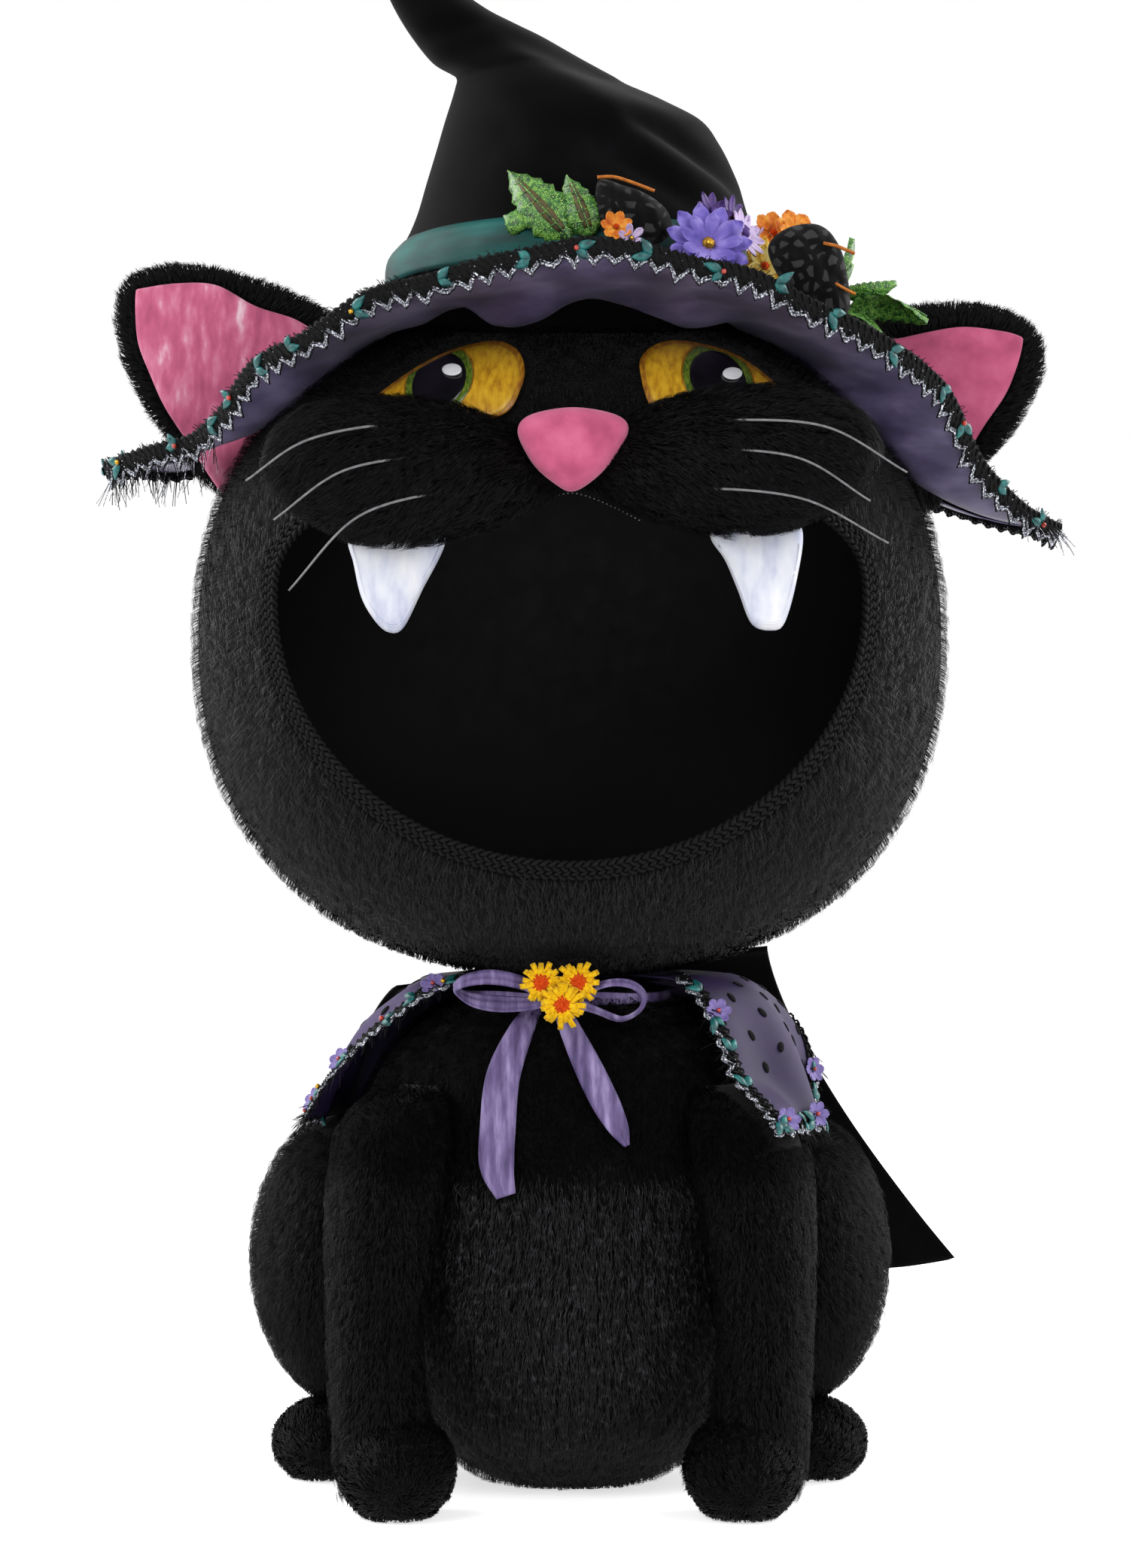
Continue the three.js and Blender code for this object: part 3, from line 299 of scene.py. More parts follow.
def directions(places, *parts):
    """One direction for each place, from its parts along X, Y and Z."""
    return np.stack([np.zeros(len(places)) + part for part in parts], -1)


def hash_noise(cells, seed):
    """A steady number from 0 to 1 for each row of whole numbers."""
    mixed = np.sin(cells @ np.array([127.1, 311.7, 74.7])[: cells.shape[-1]] + seed * 53.3) * 43758.5453
    return mixed - np.floor(mixed)


def swirl(points, size, seed):
    """A smooth wandering number from -1 to 1 over space."""
    p = points / size
    total = np.sin(p[..., 0] * 1.7 + p[..., 1] * 2.3 + seed)
    total = total + np.sin(p[..., 1] * 1.3 - p[..., 2] * 2.1 + seed * 2.7)
    total = total + np.sin(p[..., 2] * 1.9 + p[..., 0] * 2.9 + seed * 4.1) + np.sin(p[..., 0] * 4.1 - seed)
    return total / 4


def along_path(points, count, closed=False):
    """Even steps along a smooth curve through the points."""
    points = np.asarray(points, float)
    if closed:
        ring = np.concatenate([points[-2:], points, points[:3]])
    else:
        ring = np.concatenate([points[:1] * 2 - points[1:2], points, points[-1:] * 2 - points[-2:-1]])
    fine = []
    start = 1 if closed else 0
    spans = len(points) if closed else len(points) - 1
    for index in range(spans):
        a, b, c, d = ring[start + index:start + index + 4]
        t = np.linspace(0, 1, 24, endpoint=False)[:, None]
        fine.append(0.5 * (
            2 * b + (c - a) * t + (2 * a - 5 * b + 4 * c - d) * t ** 2 + (3 * b - a - 3 * c + d) * t ** 3
        ))
    fine = np.concatenate(fine + [fine[0][:1] if closed else points[-1:]])
    reach = np.concatenate([[0], np.cumsum(np.linalg.norm(np.diff(fine, axis=0), axis=1))])
    steps = np.linspace(0, reach[-1], count + 1)[:-1] if closed else np.linspace(0, reach[-1], count)
    return np.stack([np.interp(steps, reach, fine[:, axis]) for axis in range(fine.shape[1])], -1)


# Materials

def linear(colour):
    """A colour as it is seen, in the numbers that a shader takes."""
    return [c / 12.92 if c <= 0.04045 else ((c + 0.055) / 1.055) ** 2.4 for c in colour] + [1.0]


def material(name, colours, grain, roughness=(0.5, 0.7), bump=0.3, fine=900.0, depth=0.3,
             weave=0.0, stretch=(1, 1, 1), stops=None, detail=4.0, fixed=None, extra=None):
    """A cloth or moulded look: colours blended by noise, a fine bump, a weave, and fixed shader values."""
    made = bpy.data.materials.new(name)
    made.use_nodes = True
    tree = made.node_tree
    shader = tree.nodes["Principled BSDF"]
    make_node, link = tree.nodes.new, tree.links.new
    place = make_node("ShaderNodeTexCoord").outputs["Object"]
    mapping = make_node("ShaderNodeMapping")
    mapping.inputs["Scale"].default_value = stretch
    link(place, mapping.inputs["Vector"])
    noise = make_node("ShaderNodeTexNoise")
    noise.inputs["Scale"].default_value = grain
    noise.inputs["Detail"].default_value = detail
    link(mapping.outputs["Vector"], noise.inputs["Vector"])
    ramp = make_node("ShaderNodeValToRGB")
    stops = stops or np.linspace(0.3, 0.7, len(colours))
    elements = ramp.color_ramp.elements
    while len(elements) < len(colours):
        elements.new(0.5)
    for element, stop, colour in zip(elements, stops, colours):
        element.position = float(stop)
        element.color = linear(colour)
    link(noise.outputs["Fac"], ramp.inputs["Fac"])
    colour_out = ramp.outputs["Color"]
    if extra:
        colour_out = extra(tree, mapping.outputs["Vector"], colour_out)
    link(colour_out, shader.inputs["Base Color"])
    spread = make_node("ShaderNodeMapRange")
    spread.inputs["To Min"].default_value, spread.inputs["To Max"].default_value = roughness
    link(noise.outputs["Fac"], spread.inputs["Value"])
    link(spread.outputs["Result"], shader.inputs["Roughness"])
    small = make_node("ShaderNodeTexNoise")
    small.inputs["Scale"].default_value = fine
    small.inputs["Detail"].default_value = 2.0
    link(mapping.outputs["Vector"], small.inputs["Vector"])
    height = small.outputs["Fac"]
    if weave:
        for direction in ("X", "Z"):
            wave = make_node("ShaderNodeTexWave")
            wave.bands_direction = direction
            wave.inputs["Scale"].default_value = weave
            wave.inputs["Distortion"].default_value = 0.6
            link(place, wave.inputs["Vector"])
            mix = make_node("ShaderNodeMath")
            mix.operation = "ADD"
            link(height, mix.inputs[0])
            link(wave.outputs["Fac"], mix.inputs[1])
            height = mix.outputs["Value"]
    bumped = make_node("ShaderNodeBump")
    bumped.inputs["Strength"].default_value = bump
    bumped.inputs["Distance"].default_value = depth * MM
    link(height, bumped.inputs["Height"])
    link(bumped.outputs["Normal"], shader.inputs["Normal"])
    for key, value in (fixed or {}).items():
        shader.inputs[key].default_value = value
    return made


def voronoi_spots(colour, scale, edge, cells=False):
    """Spots of another colour scattered over the cloth, or cells of it that dark lines keep apart."""
    def apply(tree, vector, under):
        pattern = tree.nodes.new("ShaderNodeTexVoronoi")
        pattern.feature = "DISTANCE_TO_EDGE" if cells else "F1"
        pattern.inputs["Scale"].default_value = scale
        tree.links.new(vector, pattern.inputs["Vector"])
        ramp = tree.nodes.new("ShaderNodeValToRGB")
        tones = ((0, 0, 0, 1), (1, 1, 1, 1)) if cells else ((1, 1, 1, 1), (0, 0, 0, 1))
        for element, shift, tone in zip(ramp.color_ramp.elements, (-0.03, 0.03), tones):
            element.position = edge + shift
            element.color = tone
        tree.links.new(pattern.outputs["Distance"], ramp.inputs["Fac"])
        mix = tree.nodes.new("ShaderNodeMix")
        mix.data_type = "RGBA"
        tree.links.new(ramp.outputs["Color"], mix.inputs["Factor"])
        tree.links.new(under, mix.inputs[6])
        mix.inputs[7].default_value = linear(colour)
        return mix.outputs[2]
    return apply


def greys(*tones):
    """Nearly neutral colours, each from its red and its blue."""
    return [(tone, tone, blue) for tone, blue in tones]


def shine(level):
    return {"Specular IOR Level": level}


VELVET = {"Sheen Weight": 0.07, "Sheen Roughness": 0.4, **shine(0.04)}
SATIN = {"Anisotropic": 0.4, "Sheen Weight": 0.08, **shine(0.5)}
SATIN_DULL = {"Anisotropic": 0.4, **shine(0.2)}
FELT = {"Sheen Weight": 0.08, "Sheen Roughness": 0.5, **shine(0.06)}
STOPS = [0.3, 0.5, 0.75]
STOPS_LATE = [0.3, 0.5, 0.72]

# each look: its colours, the grain of their blend, its roughness and bump, and what else sets it apart
fur_black = material(
    "fur_black", greys((0.014, 0.017), (0.045, 0.05), (0.125, 0.138)), 330, (0.52, 0.72), 0.2,
    stops=[0.38, 0.56, 0.76], fixed=shine(0.08),
)
# a lighter copy of the black fur for the head: painted sheen on its sides
fur_head_painted_sheen = material(
    "fur_head_painted_sheen", greys((0.02, 0.024), (0.065, 0.072), (0.185, 0.2)), 300, (0.46, 0.66), 0.2,
    stops=[0.38, 0.55, 0.75], fixed=shine(0.16),
)
# a nearly black copy of the fur for hair high on the body: painted shade under the head and capelet
fur_painted_shade = material(
    "fur_painted_shade", greys((0.008, 0.01), (0.024, 0.028), (0.06, 0.068)), 330, (0.6, 0.8), 0.2,
    stops=[0.38, 0.58, 0.8], fixed=shine(0.04),
)
# a lighter copy of the fur for the lower front: painted sheen on the belly
fur_belly_painted_sheen = material(
    "fur_belly_painted_sheen", greys((0.032, 0.036), (0.095, 0.103), (0.25, 0.265)), 260, (0.46, 0.66), 0.2,
    stops=[0.38, 0.54, 0.74], fixed=shine(0.14),
)
backing = material(
    "fur_backing", greys((0.008, 0.01), (0.025, 0.03)), 400, (0.8, 0.95), 0.8, depth=1.0, fixed=FELT,
)
# its lighter low-frequency smudges are painted sheen, where the velvet's nap catches the light
velvet_black = material(
    "velvet_black", greys((0.01, 0.012), (0.026, 0.03), (0.07, 0.078)), 26, (0.75, 0.95), 0.35, fine=2500,
    stops=[0.35, 0.52, 0.78], detail=7.0, fixed=VELVET,
)
bowl_black = material(
    "bowl_black", greys((0.012, 0.014), (0.035, 0.04)), 90, (0.55, 0.75), 0.25, fine=1400, fixed=shine(0.3),
)
satin_purple = material(
    "satin_purple", [(0.14, 0.1, 0.21), (0.21, 0.16, 0.31), (0.33, 0.27, 0.44)], 14, (0.4, 0.55), 0.25,
    weave=900, stops=STOPS, fixed=SATIN_DULL,
)
# its stretched streaks run from the shade to the sheen of satin folds: painted shade and painted sheen
satin_lining = material(
    "satin_lining", [(0.25, 0.22, 0.34), (0.36, 0.32, 0.46), (0.52, 0.48, 0.63)], 26, (0.36, 0.5), 0.25,
    weave=900, stops=STOPS_LATE, stretch=(1, 1, 2.5), fixed=SATIN,
)
# its stretched streaks, darker and lighter along the ribbon, are painted fold shade and painted sheen
satin_lavender = material(
    "satin_lavender", [(0.3, 0.25, 0.41), (0.44, 0.38, 0.56), (0.64, 0.58, 0.76)], 70, (0.34, 0.48), 0.25,
    weave=900, stops=STOPS_LATE, stretch=(3, 1, 0.5), fixed=SATIN_DULL,
)
satin_teal = material(
    "satin_teal", [(0.01, 0.15, 0.15), (0.02, 0.27, 0.26), (0.05, 0.38, 0.36)], 30, (0.4, 0.55), 0.3,
    weave=900, stops=STOPS, stretch=(0.6, 1, 3), fixed=SATIN_DULL,
)
satin_white = material(
    "satin_white", [(0.74, 0.76, 0.86), (0.88, 0.89, 0.94), (0.95, 0.95, 0.97)], 50, (0.3, 0.42), 0.25,
    weave=900, stretch=(2, 1, 0.7), fixed=SATIN,
)
velvet_pink = material(
    "velvet_pink", [(0.68, 0.3, 0.43), (0.77, 0.36, 0.5), (0.83, 0.43, 0.57)], 60, (0.7, 0.9), 0.4,
    fine=1800, stops=STOPS, fixed={"Sheen Weight": 0.2, **shine(0.1)},
)
# the left ear's crushed velvet: its crush pattern is real, and its pale patches are painted sheen
velvet_crushed_painted_sheen = material(
    "velvet_crushed_painted_sheen", [(0.68, 0.3, 0.44), (0.79, 0.38, 0.52), (0.85, 0.5, 0.62), (0.95, 0.8, 0.85)], 55,
    (0.6, 0.85), 0.5, fine=1500, stops=[0.32, 0.5, 0.62, 0.74], stretch=(2.2, 1, 0.8), detail=8.0,
    fixed={"Sheen Weight": 0.35, **shine(0.25)},
)
felt_yellow = material(
    "felt_yellow", [(0.85, 0.6, 0.04), (0.95, 0.74, 0.07), (0.98, 0.82, 0.15)], 500, (0.8, 0.95), 0.5,
    fixed=FELT,
)
felt_orange = material(
    "felt_orange", [(0.72, 0.2, 0.05), (0.88, 0.34, 0.08)], 600, (0.8, 0.95), 0.5, fixed=FELT,
)
braid_black = material(
    "braid_black", greys((0.01, 0.012), (0.05, 0.055)), 700, (0.6, 0.8), 0.6, fine=2600, fixed=shine(0.14),
)
whisker_grey = material("whisker_grey", greys((0.36, 0.37), (0.5, 0.51)), 300, (0.35, 0.5), 0.1)
silver = material(
    "silver_thread", [(0.16, 0.16, 0.18), (0.45, 0.46, 0.5), (0.95, 0.96, 1.0)], 1100, (0.3, 0.55), 0.8,
    fine=2400, stops=[0.4, 0.52, 0.64], fixed={"Metallic": 0.45},
)
leaf_green = material(
    "leaf_green", [(0.07, 0.24, 0.1), (0.2, 0.44, 0.17), (0.44, 0.64, 0.27)], 300, (0.3, 0.6), 0.5,
    stops=[0.36, 0.5, 0.66], fixed=shine(0.5), extra=voronoi_spots((0.78, 0.93, 0.45), 1000, 0.27),
)
leaf_heart = material("leaf_heart", [(0.2, 0.17, 0.08), (0.36, 0.31, 0.12)], 300, bump=0.4)
leaf_teal = material(
    "leaf_teal", [(0.02, 0.2, 0.21), (0.06, 0.36, 0.36), (0.15, 0.5, 0.48)], 250, (0.3, 0.5), 0.4,
)
petal_violet = material(
    "petal_violet", [(0.36, 0.3, 0.68), (0.5, 0.43, 0.8), (0.66, 0.6, 0.92)], 90, bump=0.35, weave=1500,
)
petal_dark = material("petal_dark", [(0.2, 0.1, 0.36), (0.34, 0.2, 0.52)], 220, bump=0.35)
petal_lilac = material("petal_lilac", [(0.72, 0.62, 0.82), (0.86, 0.78, 0.92)], 220, bump=0.35)
petal_mauve = material("petal_mauve", [(0.4, 0.34, 0.6), (0.56, 0.5, 0.74)], 220, bump=0.35)
petal_orange = material(
    "petal_orange", [(0.8, 0.36, 0.05), (0.94, 0.56, 0.12), (0.98, 0.72, 0.3)], 200, bump=0.35, weave=1500,
)
petal_yellow = material(
    "petal_yellow", [(0.9, 0.66, 0.12), (0.97, 0.82, 0.32), (0.99, 0.92, 0.6)], 200, bump=0.35, weave=1500,
)
bead_red = material(
    "bead_red", [(0.6, 0.08, 0.05), (0.82, 0.2, 0.08)], 300, (0.1, 0.2), 0.05, fixed={"Coat Weight": 0.6},
)
bead_gold = material(
    "bead_gold", [(0.6, 0.42, 0.08), (0.85, 0.66, 0.2)], 300, (0.2, 0.3), 0.1, fixed={"Metallic": 0.7},
)
cotton_patterned = material(
    "cotton_patterned", greys((0.03, 0.034), (0.075, 0.08)), 200, (0.75, 0.9), 0.4, weave=1100, fixed=FELT,
    extra=voronoi_spots((0.24, 0.24, 0.245), 125, 0.2, cells=True),
)
edging_orange = material(
    "edging_orange", [(0.72, 0.38, 0.1), (0.86, 0.52, 0.16)], 300, (0.7, 0.85), 0.4, weave=1300,
)
flock_black = material("flock_black", greys((0.02, 0.025), (0.06, 0.07)), 500, (0.85, 0.95), 0.6, fixed=FELT)
eye_gold = material(
    "eye_gold", [(0.66, 0.46, 0.07), (0.81, 0.61, 0.1), (0.88, 0.7, 0.16)], 110, (0.3, 0.45), 0.2,
    stretch=(3, 1, 1), stops=STOPS_LATE, fixed={"Coat Weight": 0.25},
)
eye_rim = material(
    "eye_rim", [(0.45, 0.26, 0.05), (0.62, 0.4, 0.07), (0.76, 0.55, 0.1)], 140, (0.3, 0.45), 0.2,
    stretch=(3, 1, 1), fixed={"Coat Weight": 0.25},
)
eye_green = material(
    "eye_green", [(0.2, 0.3, 0.07), (0.33, 0.43, 0.1), (0.5, 0.55, 0.14)], 260, (0.22, 0.35), 0.2,
    stretch=(3, 1, 1), fixed={"Coat Weight": 0.5},
)
eye_black = material(
    "eye_black", greys((0.01, 0.012), (0.03, 0.035)), 200, (0.12, 0.2), 0.05, fixed={"Coat Weight": 0.6},
)
eye_light = material("eye_light", greys((0.93, 0.95), (0.98, 0.99)), 200, (0.25, 0.35), 0.05)
steel_look = material(
    "brushed_steel", [(0.5, 0.51, 0.53), (0.64, 0.65, 0.67)], 300, (0.28, 0.45), 0.15, stretch=(1, 1, 0.05),
    fixed={"Metallic": 1.0},
)
board_look = material(
    "board", [(0.34, 0.24, 0.14), (0.48, 0.36, 0.22), (0.58, 0.45, 0.3)], 60, (0.6, 0.8), stretch=(1, 8, 1),
)
socket_look = material("socket_plastic", greys((0.14, 0.15), (0.19, 0.2)), 500, (0.45, 0.6), 0.2)

# CAD nodes that stay in sight
STEEL_NODES = ("neck_post", "flange_screw_1", "flange_screw_2", "flange_screw_3")
for node, look in (("base_disc", board_look), ("head_socket", socket_look),
                   *((steel, steel_look) for steel in STEEL_NODES)):
    shown = bpy.data.objects[node].data.materials
    shown.clear()
    shown.append(look)

# Stuffed forms. Each has points and faces of its skin, and says which points lie inside it.

TORSO_HEIGHT = 297.5
TORSO_HALF_WIDTH = 132
TORSO_FRONT = 112
TORSO_BACK = 130
HEAD_Y = 5
HEAD_HALF = np.array([221.0, 188.0, 200.0])
HEAD_CENTRE_Z = 501
HEAD_POWER = 2.25
PLUSH_THICKNESS = 12
BOWL_WALL = 5

# height, half width, front and back, each a share of the torso's sizes
TORSO_SHARES = np.array([
    [0, 0.34, 0.2, 0.5], [0.012, 0.4, 0.27, 0.58], [0.04, 0.52, 0.43, 0.74], [0.13, 0.76, 0.77, 0.92],
    [0.27, 0.94, 0.95, 1], [0.42, 1, 1, 0.985], [0.57, 0.99, 0.95, 0.91], [0.7, 0.97, 0.89, 0.81],
    [0.8, 0.9, 0.82, 0.71], [0.88, 0.78, 0.74, 0.62], [0.94, 0.62, 0.62, 0.5], [0.98, 0.43, 0.48, 0.37],
    [1, 0.25, 0.28, 0.22],
])
# height, spread, reach forward, half width and half depth of a foreleg
FORELEG_RINGS = np.array([
    [18, 102, 127.5, 26, 28], [41, 105.5, 125, 26.5, 31], [101, 111, 112.5, 26.5, 33.5],
    [168, 107.5, 92.5, 32.5, 40], [211, 100, 71, 35, 42], [230, 93, 62.5, 27.5, 33.5],
    [240, 86.5, 57.5, 14.5, 19],
])
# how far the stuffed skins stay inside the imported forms, so that skin and fur together fill them
FUR_ROOM = 2.5
FORM_LEVELS = 48
FORM_AROUND = 56
EGG_LEVELS = 40


class Form:
    """A stuffed shape as upright rings: height, middle x, middle y, half width and half depth."""

    def __init__(self, rings):
        rings = np.asarray(rings, float)
        heights = np.linspace(rings[0, 0], rings[-1, 0], FORM_LEVELS)
        smooth = along_path(rings - [0, 0, 0, FUR_ROOM, FUR_ROOM], 400)
        self.table = np.stack([np.interp(heights, smooth[:, 0], smooth[:, axis]) for axis in range(5)], -1)
        turn = full_turn(FORM_AROUND)
        z, x, y, wide, deep = np.split(self.table, 5, 1)
        self.shape = lofted(np.stack([x + wide * np.cos(turn), y + deep * np.sin(turn), z + 0 * turn], -1))

    def inside(self, points, grow=0.0):
        x, y, wide, deep = (np.interp(points[:, 2], *self.table[:, [0, axis]].T) for axis in range(1, 5))
        within = ((points[:, 0] - x) / (wide + grow)) ** 2 + ((points[:, 1] - y) / (deep + grow)) ** 2 < 1
        between = (points[:, 2] > self.table[0, 0] - grow) & (points[:, 2] < self.table[-1, 0] + grow)
        return within & between


class Egg:
    """A stuffed egg shape, turned about Y, and cut level at the floor."""

    def __init__(self, centre, half, tilt_degrees=0.0):
        self.centre, self.half = np.array(centre, float), np.array(half, float) - FUR_ROOM
        tilt = math.radians(tilt_degrees)
        self.axes = np.array([
            [math.cos(tilt), 0, -math.sin(tilt)], [0, 1, 0], [math.sin(tilt), 0, math.cos(tilt)],
        ])
        points, *faces = ball((0, 0, 0), self.half, FORM_AROUND, EGG_LEVELS)
        points = points @ self.axes + self.centre
        points[:, 2] = np.maximum(points[:, 2], FLOOR_GAP)
        self.shape = (points, *faces)

    def inside(self, points, grow=0.0):
        local = (points - self.centre) @ self.axes.T
        return (local ** 2 / (self.half + grow) ** 2).sum(-1) < 1


def torso_rings():
    front = -TORSO_FRONT * TORSO_SHARES[:, 2]
    back = TORSO_BACK * TORSO_SHARES[:, 3]
    return np.stack([
        0.4 + TORSO_HEIGHT * TORSO_SHARES[:, 0], 0 * front, (front + back) / 2,
        TORSO_HALF_WIDTH * TORSO_SHARES[:, 1], (back - front) / 2,
    ], -1)


def head_level(z, grow=0.0):
    """How wide the head is at a height, as a share of its width and depth."""
    up = np.clip(np.abs(z - HEAD_CENTRE_Z) / (HEAD_HALF[2] + grow), 0, 1)
    return (1 - up ** HEAD_POWER) ** (1 / HEAD_POWER)


def in_head(points):
    reach = np.hypot(points[:, 0] / HEAD_HALF[0], (points[:, 1] - HEAD_Y) / HEAD_HALF[1])
    return reach < head_level(points[:, 2])


def face_y(x, z, grow=0.0):
    """The front of the head at a place across and up."""
    level = head_level(z, grow) ** 2 - (x / (HEAD_HALF[0] + grow)) ** 2
    return HEAD_Y - (HEAD_HALF[1] + grow) * np.sqrt(np.maximum(level, 0))


# a place that shows at a point is found in a few steps from a first guess of its depth
FACE_GUESS_Y = -150.0
CROWN_GUESS_Y = -100.0
GUESS_STEPS = 4


def on_face(points, grow):
    """Places on the head that show at points of the photograph."""
    depth = FACE_GUESS_Y
    for _ in range(GUESS_STEPS):
        places = np.array([spot(a, b, d) for (a, b), d in zip(points, np.broadcast_to(depth, len(points)))])
        depth = face_y(places[:, 0], places[:, 1], grow)
    return np.stack([places[:, 0], depth, places[:, 1]], -1)


CHEEK_Z = 590
torso = Form(torso_rings())
forelegs = {hand: Form([[z, hand * x, -y, w, d] for z, x, y, w, d in FORELEG_RINGS]) for hand in SIDES}
forepaws = {hand: Egg((hand * 98, -132, 27.5), (33, 42, 32)) for hand in SIDES}
haunches = {hand: Egg((hand * 134, 50, 130), (58, 88, 88)) for hand in SIDES}
hind_paws = {hand: Egg((hand * 146, 30, 21), (32, 44, 26)) for hand in SIDES}
cheeks = {
    hand: Egg((hand * 87, HEAD_Y - 176, CHEEK_Z + 3 * hand), (84, 46, 42), -hand * 8.5) for hand in SIDES
}

for cheek in cheeks.values():
    points = cheek.shape[0]
    low = np.clip((cheek.centre[2] - points[:, 2]) / cheek.half[2], 0, 1) ** 0.7
    rise = np.interp(np.abs(points[:, 0]), [0, 20, 45, 75, 115], [21, 18, 12, 7, 0])
    points[:, 2] += rise * low


def chest_y(x, z):
    """The front of the torso at a place across and up."""
    middle, wide, deep = (np.interp(z, torso.table[:, 0], torso.table[:, axis]) for axis in (2, 3, 4))
    return middle - deep * np.sqrt(np.maximum(1 - (x / wide) ** 2, 0))


# The mouth and the shell of the head

HEAD_AROUND = 144
HEAD_FRONT_ROWS = 26
HEAD_BACK_ROWS = 30
MOUTH_HALF_WIDTH = 175
MOUTH_BELOW = 157
MOUTH_ABOVE = 78
MOUTH_CENTRE_Z = 519
MOUTH_TOP_POWER = 2.7


def mouth_edge(turn, inset):
    """The mouth's edge at angles round its middle: x and z."""
    across, up = np.cos(turn), np.sin(turn)
    power = np.where(up > 0, 2 / MOUTH_TOP_POWER, 1.0)
    height = np.where(up > 0, MOUTH_ABOVE, MOUTH_BELOW) - inset
    x = np.sign(across) * np.abs(across) ** power * (MOUTH_HALF_WIDTH - inset)
    return x, MOUTH_CENTRE_Z + np.sign(up) * np.abs(up) ** power * height


def head_layer(grow, inset):
    """One skin of the head, from the mouth's edge round to the back: a grid of points."""
    turn = full_turn(HEAD_AROUND)
    edge_x, edge_z = mouth_edge(turn, inset)
    wide, high = HEAD_HALF[0] + grow, HEAD_HALF[2] + grow
    run_z = HEAD_CENTRE_Z + np.sign(np.sin(turn)) * np.abs(np.sin(turn)) ** (2 / HEAD_POWER) * high
    level = 1 - (np.abs(run_z - HEAD_CENTRE_Z) / high) ** HEAD_POWER
    run_x = np.sign(np.cos(turn)) * wide * np.maximum(level, 0) ** (1 / HEAD_POWER)
    rows = []
    for share in np.linspace(0, 1, HEAD_FRONT_ROWS):
        blend = math.sin(share * math.pi / 2)
        x, z = edge_x + (run_x - edge_x) * blend, edge_z + (run_z - edge_z) * blend
        y = np.full(HEAD_AROUND, float(HEAD_Y)) if share == 1 else face_y(x, z, grow)
        rows.append(np.stack([x, y, z], -1))
    for share in np.linspace(0, 1, HEAD_BACK_ROWS)[1:]:
        shrink = max(math.cos(share * math.pi / 2), 0.012)
        x, z = run_x * shrink, HEAD_CENTRE_Z + (run_z - HEAD_CENTRE_Z) * shrink
        rows.append(np.stack([x, 2 * HEAD_Y - face_y(x, z, grow), z], -1))
    return np.array(rows)


def shell(outer_grow, inner_grow, inset):
    """The head's wall between two skins, open at the mouth."""
    return lofted(np.concatenate([head_layer(outer_grow, inset)[::-1], head_layer(inner_grow, inset)]))


# Fur

# over this height the hair of the body is nearly black, a painted shade under the head and capelet, and under
# this one the hair of its front is lighter, a painted sheen
PAINTED_SHADE_FOOT = 192
PAINTED_SHEEN_TOP = 186
HAIR_WIDTH = 0.55
CLUMP_PULL = 0.2
# along a hair: how far up it stands, how far it bends over, and its width
HAIR_STEPS = ((-0.12, 0.0, 1.0), (0.55, 0.45, 0.75), (1.0, 1.0, 0.0))


def scatter(shape, count, seed):
    """Random places on a skin, with their normals. The caps at its ends are left out."""
    points, *faces = outward(shape)
    corners = np.concatenate([
        block[:, [0, corner, corner + 1]]
        for block in faces if block.shape[1] <= 4 for corner in range(1, block.shape[1] - 1)
    ])
    random = np.random.default_rng(seed)
    edge_a, edge_b = (points[corners[:, corner]] - points[corners[:, 0]] for corner in (1, 2))
    cross = np.cross(edge_a, edge_b)
    area = np.linalg.norm(cross, axis=1)
    normals = np.zeros_like(points)
    for corner in range(3):
        np.add.at(normals, corners[:, corner], cross)
    normals = unit(normals)
    chosen = random.choice(len(corners), count, p=area / area.sum())
    a, b = random.random(count), random.random(count)
    over = a + b > 1
    a[over], b[over] = 1 - a[over], 1 - b[over]
    shares = np.stack([1 - a - b, a, b], -1)[..., None]
    places = (points[corners[chosen]] * shares).sum(1)
    return places, unit((normals[corners[chosen]] * shares).sum(1))


def off_skin(vectors, normals):
    """What is left of the vectors along the skin."""
    return vectors - normals * (vectors * normals).sum(-1, keepdims=True)


def straying(places, spare):
    """How far the edges of the hair's painted shade and painted sheen stray up or down: in waves, and from
    hair to hair.
    """
    return 9 * swirl(places, 30, 4) + 16 * (spare - 0.5)


